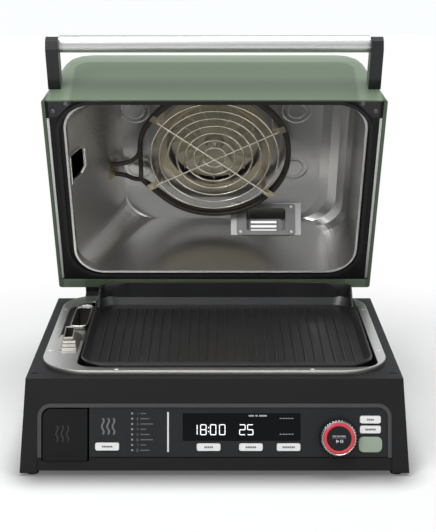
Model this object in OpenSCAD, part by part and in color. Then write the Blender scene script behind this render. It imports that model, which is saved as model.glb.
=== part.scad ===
// Electric indoor grill with a hinged convection lid, a lift-out pan and a smoke drawer.
// Lengths are millimetres. X is to the right, Y is to the back, Z is up, and the feet stand on Z = 0.

/* [Base] */
// Width of the base along its top edge
base_w = 440; // [430:1:470]
// Depth of the base along its top
base_depth = 342; // [340:1:370]
// Height of the base housing above the feet
base_h = 106.2; // [104:0.2:118]
// Extra width on each side at the bottom of the base
base_flare = 6.8; // [3:0.2:10]
// Lean of the front panel from upright, in degrees
front_tilt = 15; // [10:0.5:18]
// Wall of the plastic housing
base_wall = 3; // [2.4:0.1:3.6]
// Height of a rubber foot
foot_h = 4; // [3:0.5:8]
// Radius of a rubber foot
foot_r = 8; // [6:0.5:9]

/* [Deck] */
// Width of the steel deck
deck_w = 414; // [404:1:420]
// Height of the deck above the housing
deck_h = 6; // [5:0.5:8]
// Distance from the front edge of the base to the deck
deck_front = 10.5; // [8:0.5:14]
// Radius of the corners of the deck
deck_r = 58; // [40:1:64]
// Thickness of the pressed sheet parts
sheet = 1; // [0.8:0.1:1.2]
// Depth of the tub under the pan
tub_depth = 46; // [40:1:48]

/* [Pan] */
// Width of the pan across its rim
pan_w = 348; // [338:1:352]
// Length of the pan along its rim
pan_len = 265; // [256:1:268]
// Depth of the pan
pan_depth = 11; // [9:0.5:13]
// Radius of the pan's front corners
pan_r = 28; // [20:1:36]
// Wall of the cast pan
pan_wall = 3; // [2.4:0.2:4]
// Slope of the pan towards the front, in degrees
pan_tilt = 1.7; // [1:0.1:2.2]
// Height of the splash wall above the rim
splash_h = 19; // [10:1:22]
// Number of ridges on the floor of the pan
rib_count = 27; // [15:1:33]

/* [Lid] */
// Width of the lid
lid_w = 440; // [434:1:446]
// Length of the lid from its back rim to its front rim
lid_len = 315.6; // [312:0.2:320]
// Depth of the lid
lid_h = 148; // [142:1:160]
// Depth at which the sides turn into the crown
lid_shoulder = 98; // [90:1:104]
// Angle that the lid stands open
open_angle = 64.1; // [50:0.1:70]
// Height of the closed lid's rim above the housing
rim_gap = 6.7; // [6.6:0.1:9]
// Sheet of the painted outer shell
shell_wall = 1.5; // [1.2:0.1:2]
// Depth of the steel liner
liner_h = 112; // [108:1:114]

/* [Fan] */
// Radius of the fan wheel
fan_r = 61; // [54:1:62]
// Number of fan blades
fan_blades = 16; // [10:2:20]
// Radius of the outer ring of the fan guard
guard_r = 88.5; // [84:0.5:92]
// Number of rings in the fan guard
guard_rings = 7; // [4:1:8]
// Diameter of the guard wire
wire_d = 2.4; // [1.8:0.2:3]
// Diameter of the heating tube
tube_d = 6.6; // [5.6:0.2:7]

/* [Handle] */
// Diameter of the handle bar
bar_d = 22; // [18:0.5:24]
// Distance between the outer faces of the handle posts
handle_w = 426; // [416:1:430]
// Reach of the handle bar in front of the lid
bar_reach = 50; // [44:1:56]

/* [Controls] */
// Height of the front panel measured down the slope
panel_h = 57.8; // [56:0.2:60]
// Radius of the dial
dial_r = 18.5; // [16:0.5:20]
// Height of the dial above the panel
dial_out = 13; // [9:0.5:16]
// Travel of the push buttons
button_travel = 0.8; // [0.5:0.1:1]
// Gap around every push button
button_gap = 0.4; // [0.3:0.05:0.6]
// Number of indicator lights
led_count = 8; // [4:1:9]

/* [Drawer] */
// Width of the smoke drawer's front
drawer_w = 52; // [48:0.5:53]
// Length of the smoke tray
tray_len = 116; // [80:1:120]

/* [Hidden] */
$fn = 64;

// ---- shared clearances and places -------------------------------------------------------------
// slack between fixed pieces that slip together, and running slack of what moves
slip = 0.3;
run = 0.1;
eps = 0.01;

// front panel features, as x and distance down the slope from the front top edge
panel_top = 33.7;
panel_bottom = panel_top + panel_h;
trim_w = 4.7;
trim_side = 201.5;
trim_r = 11;
trim_depth = 2.2;
trim_proud = 0.8;
sill_set_back = 1.2;
sill_bottom = base_h / cos(front_tilt) - 2.7;
leg_w = 20;
drawer_x0 = -200;
drawer_top = panel_top + 1.7;
drawer_lip = 4;
drawer_bottom = panel_bottom + drawer_lip;
panel_x0 = drawer_x0 + drawer_w + 2;
panel_drop = 0.4;
panel_t = 3;
panel_flange = 2;
button_lip = 1.2;
button_r = 2.2;
dial_x = 144;
dial_d = panel_top + 34.7;
dial_side = dial_r + 2.1;
dial_face_r = dial_r - 4;
dial_hub_r = dial_face_r + 1.9;
start_travel = 1.2;
display_x = [-36.7, 100];
display_d = [panel_top + 6.9, panel_top + 38.6];
window_t = 1.2;
led_x = -95.8;
led_pitch = 6.11;
led_r = 1.1;
divider_x = -54;
divider_w = 2;
board_gap = 3.4;
board_t = 1.6;

// places on the deck, as x and distance behind the front top edge of the base
deck_back = base_depth - 2;
opening_x = [-164, 195];
opening_y = [24.4, 296];
opening_r = 19;
basin_x0 = -196;
basin_y = [128, 302];
basin_depth = deck_h - 1;
ledge = 8;
mouth_r = 32.5;
tub_top = -2;
well_x = [-186, -167];
well_y = [190, 284];
well_rim = 1.4;
well_depth = 24;
chimney_x = [-188, -172];
chimney_y = [112, 140];
chimney_top = 19;
duct_t = 1.4;
flange_x = [-189.5, -165.8];
flange_y = [84, 150];

// smoke drawer bay behind the left end of the panel
bay_x = [drawer_x0 + 1.2, panel_x0 - 4];
bay_z = [-base_h + 13.4, -52];
bay_back = tray_len + 14;

// pan, whose rim corner nearest the front left sits at pan_x0, pan_y0, pan_z0
pan_x0 = -159.2;
pan_y0 = 22;
pan_z0 = deck_h + 6;
pan_draft = 5;
rib_h = 1.6;
rib_w = 3.2;

// hinge axis
hinge_y = base_depth + 3;
hinge_z = -14;
pin_r = 3;
knuckle_r = 9;
arm_x = [143, 183];
arm_wall = 6;

// lid, in its own frame: x to the right, s from the back rim to the front rim, t from the rim to the crown
lid_back = base_depth - 16.2;
rim_r = 4;
shoulder_r = 14;
crown_r = 42;
side_draft = 20;
end_draft = 3.6;
crown_side = 63;
crown_end = 36;
crown_lean = 12;
crown_steps = 7;
rear_flange = 14.6;
side_flange = 4.5;
front_flange = 2.2;
frame_t = [2, 3.6];
gasket_out = 0.3;
gasket_w = 5;
liner_x = [-191, 194];
liner_s = [30.4, lid_len - 7.6];
liner_r = 38;
liner_lip = 3.4;
lip_t = 1.4;
liner_slope_x = 63;
liner_slope_t = 12;
liner_end_draft = 6.5;
liner_round = 42;
liner_steps = 5;

// fan group in the lid's frame
fan_s = 168;
recess_r = fan_r + 5;
recess_h = 20;
guard_t = 81;
lug_r = 98;
lug_a = [143, 320.5, 210, 26];
element_r = 103;
element_t = [86, 94];
element_flat = 24;
plate_t = [108.4, 109.6];
shroud_r = [fan_r + 6, 82];
fan_z = [113.6, 128];
terminal_x = -138;
terminal_s = [128, 154];

// vent in the corner between the liner's ceiling and its back wall
vent_x = [32, 117];
vent_top = [65, liner_h];
vent_foot = [34, 74];
vent_slot_x = [53, 91.5];

// handle
post_w = 16;
post_t = [26, 50];
post_rise = 64;
bar_s = lid_len + bar_reach;
bar_t = 53;

// ---- origin: the middle of the standing part's box at floor level ------------------------------
base_top = base_h + foot_h;
function crown_a(i) = crown_lean + (90 - crown_lean) * i / crown_steps;
function slice_t(i, off = 0) = i < 0 ? 0
    : lid_shoulder + (lid_h - off - lid_shoulder) * (sin(crown_a(i)) - sin(crown_lean)) / (1 - sin(crown_lean));
function slice_in(i, draft, crown, off = 0) = i < 0 ? 0
    : draft + (crown - off) * (cos(crown_lean) - cos(crown_a(i)));
function slice_r(i) = i < 0 ? rim_r : shoulder_r + crown_r * (1 - cos(crown_a(i) - crown_lean));
function turned_y(y, z, a) = hinge_y + (y - hinge_y) * cos(a) - (z - hinge_z) * sin(a);
lid_rear = max([for (i = [-1:crown_steps])
    turned_y(lid_back - slice_in(i, end_draft, crown_end), rim_gap + slice_t(i), -open_angle)]);
dial_front = -(dial_d + dial_side) * sin(front_tilt) - (dial_out - panel_drop) * cos(front_tilt);
origin_y = (dial_front + lid_rear) / 2;

// ---- helpers ------------------------------------------------------------------------------------
// rectangle between two x and two y values, each with its own corner radius: front pair, back pair
module corner_bite(r) {
    difference() {
        translate([-eps, -eps]) square(r + eps);
        translate([r, r]) circle(r);
    }
}

module plate2(x, y, rf, rb) {
    difference() {
        translate([x[0], y[0]]) square([x[1] - x[0], y[1] - y[0]]);
        if (rf > 0) {
            translate([x[0], y[0]]) corner_bite(rf);
            translate([x[1], y[0]]) mirror([1, 0]) corner_bite(rf);
        }
        if (rb > 0) {
            translate([x[0], y[1]]) mirror([0, 1]) corner_bite(rb);
            translate([x[1], y[1]]) mirror([1, 0]) mirror([0, 1]) corner_bite(rb);
        }
    }
}

module plate(x, y, r = 0) {
    plate2(x, y, r, r);
}

module slab(x, y, z, r = 0) {
    translate([0, 0, z[0]]) linear_extrude(z[1] - z[0]) plate(x, y, r);
}

// frames: the base's front top edge, the front panel with y running down the slope, and the lid
module on_base() {
    translate([0, -origin_y, base_top]) children();
}

module on_panel() {
    on_base() rotate([90 - front_tilt, 0, 0]) mirror([0, 1, 0]) children();
}

module closed_lid() {
    translate([0, lid_back, rim_gap]) mirror([0, 1, 0]) children();
}

module on_lid() {
    on_base()
        translate([0, hinge_y, hinge_z]) rotate([-open_angle, 0, 0]) translate([0, -hinge_y, -hinge_z])
            closed_lid() children();
}

module on_pan() {
    on_base() translate([pan_x0, pan_y0, pan_z0]) rotate([pan_tilt, 0, 0]) children();
}

// rod between two points
module rod(a, b, r) {
    v = b - a;
    len = norm(v);
    translate(a) rotate([0, acos(v[2] / len), atan2(v[1], v[0])]) cylinder(r = r, h = len);
}

// ---- base ---------------------------------------------------------------------------------------
function front_y(z, off) = z * tan(front_tilt) + off / cos(front_tilt);
function half_w(z, off) = base_w / 2 - base_flare * z / base_h - off;

// the wedge that the housing fills, drawn in by off, between two heights
module base_wedge(off, z0, z1) {
    intersection() {
        rotate([90, 0, 90]) translate([0, 0, -base_w]) linear_extrude(2 * base_w)
            polygon([[front_y(z1, off), z1], [front_y(z0, off), z0], [base_depth - off, z0],
                [base_depth - off, z1]]);
        rotate([90, 0, 0]) translate([0, 0, -2 * base_depth]) linear_extrude(4 * base_depth)
            polygon([[-half_w(z1, off), z1], [-half_w(z0, off), z0], [half_w(z0, off), z0], [half_w(z1, off),
                z1]]);
    }
}

module mirrored() {
    children();
    mirror([1, 0, 0]) children();
}

// room for the lid's two hinge arms at the back edge
module arm_notch(z0, z1) {
    mirrored() slab([arm_x[0] - 5, arm_x[1] + 5], [hinge_y - knuckle_r - 3, base_depth + 20], [z0, z1]);
}

module base_housing() {
    color("#2b2b2c") difference() {
        union() {
            on_base() difference() {
                base_wedge(0, -base_h, 0);
                base_wedge(base_wall, -base_h - 1, -base_wall);
                slab([-deck_w / 2 + ledge, deck_w / 2 - ledge], [deck_front + ledge, deck_back - ledge],
                    [-base_wall - 1, 1],
                    mouth_r);
            }
            // corner posts that carry the floor plate and the feet
            on_base() intersection() {
                base_wedge(0, -base_h, -base_h + 40);
                for (x = [-1, 1], y = foot_y) translate([x * foot_x, y, -base_h]) cylinder(r = foot_r + 2,
                    h = 40);
            }
        }
        on_panel() {
            slab([-trim_side - trim_w, trim_side + trim_w], [panel_top - trim_w, panel_bottom + 1],
                [-trim_depth, 5],
                trim_r + trim_w);
            slab([-trim_side - trim_w, trim_side + trim_w], [panel_bottom - 30, panel_bottom + 1],
                [-trim_depth, 5]);
            slab([-trim_side, trim_side], [panel_top, panel_bottom], [-20, 5], trim_r);
            slab([-trim_side, panel_x0], [panel_top + trim_r, drawer_bottom + 0.6], [-20, 5]);
            slab([trim_side - trim_r - 1, trim_side], [panel_bottom - trim_r - 1, panel_bottom], [-20, 5]);
            slab([-half_w(-base_h, 0) + leg_w, half_w(-base_h, 0) - leg_w], [panel_bottom + 0.5, base_h * 1.2],
                [-sill_set_back, 5]);
            slab([-half_w(-base_h, 0) + leg_w, half_w(-base_h, 0) - leg_w], [sill_bottom, base_h * 1.2],
                [-20, 5]);
        }
        on_base() {
            arm_notch(hinge_z - 40, 1);
            for (x = [-1, 1]) translate([x * screw_x, screw_y, -2]) cylinder(r = screw_r + slip, h = 3);
            // opening that the rear cover closes
            slab(cover_x, [base_depth - base_wall - 1, base_depth + 1], [-base_h + 8, -base_h + 66]);
            // air inlets in both sides
            for (i = [0:4]) slab([-base_w, base_w], [180 + 14 * i, 187 + 14 * i], [-60, -30]);
        }
    }
}

foot_x = base_w / 2 - 7;
foot_y = [-16, base_depth - 15];
screw_x = base_w / 2 - 9.5;
screw_y = 17;
screw_r = 4;
cover_x = [-120, 120];
cover_z = [-base_h + 8, -base_h + 66];

module bottom_plate() {
    color("#3a3a3a") on_base() difference() {
        base_wedge(base_wall + slip, -base_h + 3, -base_h + 5);
        for (x = [-1, 1], y = foot_y) translate([x * foot_x, y, -base_h]) cylinder(r = foot_r + 2 + slip,
            h = 20);
        for (i = [0:7]) slab([-80, 80], [60 + 20 * i, 66 + 20 * i], [-base_h, -base_h + 20]);
    }
}

module feet() {
    color("#161616") on_base() for (x = [-1, 1], y = foot_y)
        translate([x * foot_x, y, -base_h - foot_h]) {
            cylinder(r1 = foot_r - 1, r2 = foot_r, h = foot_h);
            translate([0, 0, foot_h - eps]) cylinder(r = foot_r, h = eps);
        }
}

module rear_cover() {
    color("#222222") on_base() difference() {
        union() {
            slab([cover_x[0] + slip, cover_x[1] - slip], [base_depth - base_wall, base_depth],
                [cover_z[0] + slip, cover_z[1] - slip]);
            slab([cover_x[0] - 4, cover_x[1] + 4], [base_depth - base_wall - 2, base_depth - base_wall],
                [cover_z[0] - 2.5, cover_z[1] + 4]);
        }
        for (i = [0:11]) slab([-30 + 11 * i, -25 + 11 * i], [base_depth - 10, base_depth + 1],
            [cover_z[0] + 12, cover_z[1] - 12]);
        translate([gland_x, base_depth - 10, gland_z]) rotate([-90, 0, 0]) cylinder(r = gland_r + slip, h = 20);
    }
}

gland_x = -80;
gland_z = -base_h + 30;
gland_r = 8;

module cord_gland() {
    color("#1a1a1a") on_base() translate([gland_x, base_depth - base_wall - 2, gland_z]) rotate([-90, 0, 0])
        difference() {
        union() {
            cylinder(r = gland_r, h = base_wall + 8);
            translate([0, 0, base_wall + 2]) cylinder(r = gland_r + 3, h = 2);
            translate([0, 0, -2]) cylinder(r = gland_r + 3, h = 2);
        }
        translate([0, 0, -3]) cylinder(r = 4, h = 20);
    }
}

module top_screws() {
    color("#5a5a5a") on_base() for (x = [-1, 1]) translate([x * screw_x, screw_y, -2]) difference() {
        cylinder(r = screw_r, h = 1.4);
        translate([0, 0, 0.7]) slab([-2.6, 2.6], [-0.5, 0.5], [0, 2]);
        translate([0, 0, 0.7]) slab([-0.5, 0.5], [-2.6, 2.6], [0, 2]);
    }
}

// ---- front panel --------------------------------------------------------------------------------
module panel_trim() {
    color("#464648") on_panel() difference() {
        slab([-trim_side - trim_w + slip / 2, trim_side + trim_w - slip / 2], [panel_top - trim_w + slip / 2,
            panel_bottom + 20],
            [-trim_depth, trim_proud], trim_r + trim_w);
        slab([-trim_side, trim_side], [panel_top, panel_bottom + 40], [-10, 10], trim_r);
        slab([-300, 300], [panel_bottom + 0.5, panel_bottom + 40], [-10, 10]);
    }
}

// push buttons: x, distance down the slope, width, height
smoke_at = [-124.8, 79.1, 27.7, 9.1];
time_at = [-6.8, 79.8, 27.4, 8.7];
temp_at = [42.4, 79.8, 27.4, 8.7];
probe_at = [86.3, 79.8, 27.4, 8.7];
skip_at = [181.4, 47.8, 24.2, 8.8];
cancel_at = [181.4, 59.3, 24.2, 8.8];
light_at = [181.4, 76.7, 27.3, 17.9];

module button_outline(at, grow, r) {
    plate([at[0] - at[2] / 2 - grow, at[0] + at[2] / 2 + grow], [at[1] - at[3] / 2 - grow,
        at[1] + at[3] / 2 + grow], r + grow);
}

module button_solid(at, r = button_r) {
    translate([0, 0, -panel_t - panel_drop]) linear_extrude(panel_t + panel_drop + trim_proud)
        button_outline(at, 0, r);
    translate([0, 0, -panel_t - panel_drop - 1.2]) linear_extrude(1.2) button_outline(at, button_lip, r);
}

module button_hole(at, r = button_r) {
    translate([0, 0, -10]) linear_extrude(20) button_outline(at, button_gap, r);
}

light_r = 6;

module control_panel() {
    color("#303133") on_panel() difference() {
        union() {
            slab([panel_x0 + slip, trim_side - slip], [panel_top + slip, panel_bottom - slip],
                [-panel_t - panel_drop, -panel_drop],
                trim_r - slip);
            slab([panel_x0 + slip, trim_side - 30], [panel_top + slip, panel_bottom - slip],
                [-panel_t - panel_drop, -panel_drop]);
            slab([panel_x0 + 30, trim_side - slip], [panel_bottom - 30, panel_bottom - slip],
                [-panel_t - panel_drop, -panel_drop]);
            // back flange that rests behind the housing's front wall
            slab([panel_x0 + slip, trim_side + 1.2], [panel_top - 4, panel_bottom + 4],
                [-base_wall - panel_flange, -base_wall]);
        }
        slab([panel_x0 + 3, trim_side - 2], [panel_top + 2, panel_bottom - 2],
            [-base_wall - panel_flange - 1, -panel_t - panel_drop]);
        for (at = [smoke_at, time_at, temp_at, probe_at, skip_at, cancel_at]) button_hole(at);
        button_hole(light_at, light_r);
        translate([dial_x, dial_d, -10]) cylinder(r = dial_hub_r + run, h = 20);
        slab([display_x[0] - slip, display_x[1] + slip], [display_d[0] - slip, display_d[1] + slip],
            [-panel_drop - window_t, 5], 1.5);
        for (i = [0:led_count - 1]) translate([led_x, panel_top + 7 + led_pitch * i, -panel_drop - 1])
            cylinder(r = led_r + run, h = 5);
        slab([divider_x - divider_w / 2, divider_x + divider_w / 2], [panel_top + 5.3, panel_bottom - 6],
            [-panel_drop - 0.6, 5]);
    }
}

module display_window() {
    color("#0c0d0f") on_panel() slab(display_x, display_d, [-panel_drop - window_t, -panel_drop + 0.1], 1.2);
}

module indicator_leds() {
    color("white") on_panel() for (i = [0:led_count - 1])
        translate([led_x, panel_top + 7 + led_pitch * i, -panel_drop - 1]) cylinder(r = led_r, h = 1.1);
}

module panel_divider() {
    color("#d8d8d8") on_panel()
        slab([divider_x - divider_w / 2, divider_x + divider_w / 2], [panel_top + 5.3, panel_bottom - 6],
            [-panel_drop - 0.6, -panel_drop + 0.1]);
}

module control_board() {
    color("#1f5a33") on_panel() {
        slab([panel_x0 + 6, trim_side - 5], [panel_top + 4, panel_bottom - 4],
            [-panel_t - panel_drop - board_gap - board_t, -panel_t - panel_drop - board_gap]);
        // switches under the buttons
        for (at = [smoke_at, time_at, temp_at, probe_at, skip_at, cancel_at, light_at])
            translate([at[0], at[1], -panel_t - panel_drop - board_gap - eps]) cylinder(r = 3,
                h = board_gap - 1.2 - button_travel - run);
        // standoffs to the panel
        for (x = [panel_x0 + 10, divider_x + 6, 112, trim_side - 44])
            translate([x, panel_top + 12, -panel_t - panel_drop - board_gap - eps]) cylinder(r = 2.4,
                h = board_gap + eps);
    }
}

module smoke_button() { color("#f4f4f4") on_panel() button_solid(smoke_at); }
module time_button() { color("#f4f4f4") on_panel() button_solid(time_at); }
module temp_button() { color("#f4f4f4") on_panel() button_solid(temp_at); }
module probe_button() { color("#f4f4f4") on_panel() button_solid(probe_at); }
module skip_button() { color("#f4f4f4") on_panel() button_solid(skip_at); }
module cancel_button() { color("#f4f4f4") on_panel() button_solid(cancel_at); }
module light_button() { color("#96a58c") on_panel() button_solid(light_at, light_r); }

// ---- dial ---------------------------------------------------------------------------------------
dial_gap = 0.3;
dial_rim_t = 1.5;
dial_top = dial_out - panel_drop;
light_ring_t = 2;

module dial_body() {
    color("#1d1d1f") on_panel() translate([dial_x, dial_d, 0]) difference() {
        union() {
            translate([0, 0, -panel_drop - panel_t - 1]) cylinder(r = dial_hub_r, h = panel_t + 2 + dial_gap);
            // grip with flutes
            translate([0, 0, -panel_drop + dial_gap])
                linear_extrude(dial_top - dial_rim_t + panel_drop - dial_gap) difference() {
                circle(dial_side);
                for (i = [0:35]) rotate(10 * i) translate([dial_side + 0.45, 0]) circle(1, $fn = 24);
            }
        }
        translate([0, 0, -panel_drop - panel_t - 2]) cylinder(r = dial_face_r + slip, h = 30);
        translate([0, 0, dial_top - light_ring_t - 0.4]) cylinder(r = dial_r + 0.1, h = 10);
    }
}

module dial_trim_ring() {
    color("#e8e8e8") on_panel() translate([dial_x, dial_d, dial_top - dial_rim_t])
        rotate_extrude() polygon([[dial_r + 0.1, 0], [dial_side - 0.8, 0], [dial_side - 1.4,
            dial_rim_t - 0.3], [dial_r + 0.5, dial_rim_t - 0.3], [dial_r + 0.1, dial_rim_t - 0.6]]);
}

module dial_light_ring() {
    color("#d9303a") on_panel() translate([dial_x, dial_d, dial_top - light_ring_t - 0.4])
        rotate_extrude() polygon([[dial_face_r + slip, 0], [dial_r + 0.1, 0], [dial_r + 0.1,
            light_ring_t - 0.6], [dial_r - 1, light_ring_t + 0.2],
            [dial_face_r + 1.4, light_ring_t + 0.4], [dial_face_r + slip, light_ring_t]]);
}

module start_button() {
    color("#26272a") on_panel() translate([dial_x, dial_d, 0]) {
        translate([0, 0, -panel_drop - panel_t - 2.2]) cylinder(r = dial_face_r,
            h = dial_top + panel_drop + panel_t + 1.8);
        translate([0, 0, -panel_drop - panel_t - 2.2]) cylinder(r = dial_hub_r - 0.4, h = 1);
    }
}

// ---- tubes --------------------------------------------------------------------------------------
function unit(v) = v / norm(v);
function turn_angle(u, v) = atan2(u[0] * v[1] - u[1] * v[0], u * v);

// points round one bend of a flat path, steps of about 9 degrees
function bend_points(a, b, c, bend) =
    let (u = unit(b - a), turn = turn_angle(u, unit(c - b)), side = sign(turn), out = [u[1], -u[0]] * side,
        start = b - u * bend * tan(abs(turn) / 2), n = ceil(abs(turn) / 9))
    [for (k = [0:n]) start - out * bend + bend * (out * cos(turn * k / n) + u * side * sin(turn * k / n))];

// path along flat points at height z, bent to one radius where its straight runs meet
function flat_path(pts, bend, z) =
    let (last = len(pts) - 1,
        flat = concat([pts[0]], [for (i = [1:last - 1]) each bend_points(pts[i - 1], pts[i], pts[i + 1],
            bend)], [pts[last]]))
    [for (q = flat) [q[0], q[1], z]];

// closed tube swept along a path of points
module swept_tube(path, r, sides = 14) {
    last = len(path) - 1;
    rings = [for (i = [0:last])
        let (along = unit(path[min(i + 1, last)] - path[max(i - 1, 0)]), level = unit(cross([0, 0, 1], along)),
            up = cross(along, level))
        for (k = [0:sides - 1]) path[i] + r * (level * cos(360 * k / sides) + up * sin(360 * k / sides))];
    walls = [for (i = [0:last - 1], k = [0:sides - 1])
        let (a = i * sides + k, b = i * sides + (k + 1) % sides)
        each [[a, a + sides, b], [b, a + sides, b + sides]]];
    polyhedron(rings, concat([[for (k = [0:sides - 1]) k]], walls, [[for (k = [sides - 1:-1:0])
        last * sides + k]]));
}

// ---- deck and cooking well ----------------------------------------------------------------------
rivet_dome = 12;
rivets = [[-1, 265], [-1, 87], [1, 265], [1, 87]];

module deck_plate() {
    color("#a3a39f") on_base() difference() {
        union() {
            difference() {
                slab([-deck_w / 2, deck_w / 2], [deck_front, deck_back], [0, deck_h], deck_r);
                slab([-deck_w / 2 + sheet, deck_w / 2 - sheet], [deck_front + sheet, deck_back - sheet], [-1,
                    deck_h - sheet],
                    deck_r - sheet);
            }
            slab([basin_x0 - sheet, opening_x[0] + sheet], basin_y + [-sheet, sheet],
                [deck_h - basin_depth - sheet, deck_h], 13);
            slab(opening_x + [-sheet, sheet], opening_y + [-sheet, sheet], [tub_top, deck_h],
                opening_r + sheet);
        }
        slab(opening_x, opening_y, [tub_top - 1, deck_h + 1], opening_r);
        slab([basin_x0, opening_x[0] + 12], basin_y, [deck_h - basin_depth, deck_h + 1], 12);
        slab(well_x + [-sheet - slip, sheet + slip], well_y + [-sheet - slip, sheet + slip], [-2, deck_h], 5);
        slab(chimney_x + [-slip, slip], chimney_y + [-slip, slip], [-1, deck_h + 1], 4);
        for (p = rivets) translate([p[0] * 201, p[1], 0]) cylinder(r = 1.6, h = 10);
        for (x = [-115, 115]) translate([x, 15.5, 0]) cylinder(r = 1.6, h = 10);
        arm_notch(-1, deck_h + 1);
    }
}

module deck_rivet() {
    translate([0, 0, deck_h - 2]) cylinder(r = 1.6, h = 2);
    translate([0, 0, deck_h]) intersection() {
        translate([0, 0, 0.3 - rivet_dome]) sphere(r = rivet_dome);
        cylinder(r = 3, h = 2);
    }
}

module deck_rivets() {
    color("#c9c9c6") on_base() {
        for (p = rivets) translate([p[0] * 201, p[1], 0]) deck_rivet();
        for (x = [-115, 115]) translate([x, 15.5, 0]) deck_rivet();
    }
}

module side_well() {
    floor_z = deck_h - basin_depth;
    color("#8d8d8a") on_base() difference() {
        union() {
            slab(well_x + [-sheet, sheet], well_y + [-sheet, sheet], [floor_z - well_depth,
                floor_z + well_rim], 5);
            slab(well_x + [-2, 2], well_y + [-2.4, 2.4], [floor_z, floor_z + well_rim], 6);
        }
        slab(well_x, well_y, [floor_z - well_depth + sheet, deck_h], 4);
    }
}

module smoke_chimney() {
    color("#b4b4b1") on_base() difference() {
        union() {
            slab(flange_x, flange_y, [deck_h, deck_h + 1.2], 3);
            slab(flange_x + [1.2, -1.6], flange_y + [6, -3], [deck_h, deck_h + 3.6], 3);
            slab(flange_x + [1.4, -3.4], flange_y + [14, -3], [deck_h, deck_h + 6.4], 3);
            slab(flange_x + [1.5, -5], flange_y + [21, -4], [deck_h, deck_h + 9], 4);
            slab(chimney_x, chimney_y, [-2, chimney_top + 12], 4);
        }
        // mouth leaning to the front
        translate([0, chimney_y[0], chimney_top - 2]) rotate([18, 0, 0]) slab([-220, -150], [-40, 60], [0, 40]);
        slab(chimney_x + [duct_t, -duct_t], chimney_y + [duct_t, -duct_t], [-3, chimney_top + 20], 3);
    }
}

module smoke_box() {
    pipe = 2 * duct_t + slip;
    color("#7c7c79") on_base() difference() {
        union() {
            intersection() {
                slab(bay_x + [-sheet, sheet], [-40, bay_back + sheet], bay_z + [-sheet, sheet]);
                base_wedge(front_drop + front_t + slip, -base_h, 0);
            }
            for (x = bay_x) slab([x - 2, x + 2], [20, bay_back - 10], [-base_h + 5, bay_z[0] - sheet / 2]);
            slab(chimney_x + [slip + duct_t, -slip - duct_t], chimney_y + [slip + duct_t, -slip - duct_t],
                [bay_z[1], 4], 2.4);
        }
        slab(bay_x, [-60, bay_back], bay_z);
        slab(chimney_x + [pipe, -pipe], chimney_y + [pipe, -pipe], [bay_z[1] - 2, 10], 1);
        translate([igniter_x, bay_back - 5, igniter_z]) rotate([-90, 0, 0]) cylinder(r = igniter_r + run,
            h = 20);
    }
}

igniter_x = -176;
igniter_z = -57.5;
igniter_r = 3.5;

module igniter() {
    color("#55524e") on_base() translate([igniter_x, bay_back - 62, igniter_z]) rotate([-90, 0, 0]) {
        cylinder(r = igniter_r, h = 76);
        translate([0, 0, 62 + sheet]) cylinder(r = igniter_r + 1.9, h = 4);
    }
}

// posts under the pan, as x and y
pan_posts = [[-118, 52], [148, 52], [-118, 252], [148, 252]];

module heating_tub() {
    color("#77777a") on_base() difference() {
        union() {
            difference() {
                slab(opening_x + [-sheet, sheet], opening_y + [-sheet, sheet], [tub_top - tub_depth,
                    tub_top], opening_r + sheet);
                slab(opening_x, opening_y, [tub_top - tub_depth + sheet, tub_top + 1], opening_r);
            }
            for (p = pan_posts) translate([p[0], p[1], tub_top - tub_depth]) cylinder(r = 5,
                h = tub_depth + 20);
        }
        for (p = pan_posts) translate([p[0], p[1], tub_top - tub_depth - 1]) cylinder(r = 3,
            h = tub_depth + 30);
        // seat that follows the slope of the pan
        translate([pan_x0, pan_y0, pan_z0]) rotate([pan_tilt, 0, 0])
            translate([-20, -20, -pan_depth - pan_wall - run]) cube([400, 320, 60]);
        for (x = element_feed) translate([x, opening_y[1] - 5, element_z]) rotate([-90, 0, 0])
            cylinder(r = tube_d / 2 + run, h = 20);
    }
}

element_z = -18;
element_feed = [-10, 40];

module lower_element() {
    y0 = opening_y[0] + 45;
    y1 = opening_y[1] - 40;
    tail = opening_y[1] + 16;
    color("#4a4744") on_base() swept_tube(flat_path([[element_feed[0], tail], [element_feed[0], y1],
        [opening_x[0] + 60, y1],
        [opening_x[0] + 60, y0], [opening_x[1] - 60, y0], [opening_x[1] - 60, y1], [element_feed[1], y1],
            [element_feed[1], tail]],
        16, element_z), tube_d / 2);
}

// ---- smoke drawer -------------------------------------------------------------------------------
front_drop = 0.2;
front_t = 3.4;
tray_x = bay_x + [slip, -slip];
tray_z = [bay_z[0] + slip, -62];

module drawer_front() {
    x1 = drawer_x0 + drawer_w;
    color("#262626") on_base() difference() {
        rotate([90 - front_tilt, 0, 0]) mirror([0, 1, 0]) {
            difference() {
                slab([drawer_x0, x1], [drawer_top, drawer_bottom], [-front_drop - front_t, -front_drop]);
                translate([drawer_x0, drawer_top, -10]) linear_extrude(20) corner_bite(trim_r - 1.5);
            }
            // finger lip along the bottom
            slab([drawer_x0 + 3, x1], [drawer_bottom - drawer_lip, drawer_bottom], [-front_drop - 1, 1.6], 1.2);
        }
        slab([-250, -100], [-60, 0], [-base_h, -(drawer_bottom + 0.1) * cos(front_tilt)]);
    }
}

module drawer_tray() {
    color("#8b8b88") on_base() difference() {
        slab(tray_x, [-26, tray_len], tray_z);
        slab(tray_x + [sheet, -sheet], [-20 + 8, tray_len - sheet], [tray_z[0] + sheet, 0]);
        // front face laid against the back of the drawer's front
        rotate([90 - front_tilt, 0, 0]) mirror([0, 1, 0]) slab([-260, -100], [0, 140],
            [-front_drop - front_t, 40]);
    }
}

// ---- pan ----------------------------------------------------------------------------------------
pan_lip = 2.4;

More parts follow.
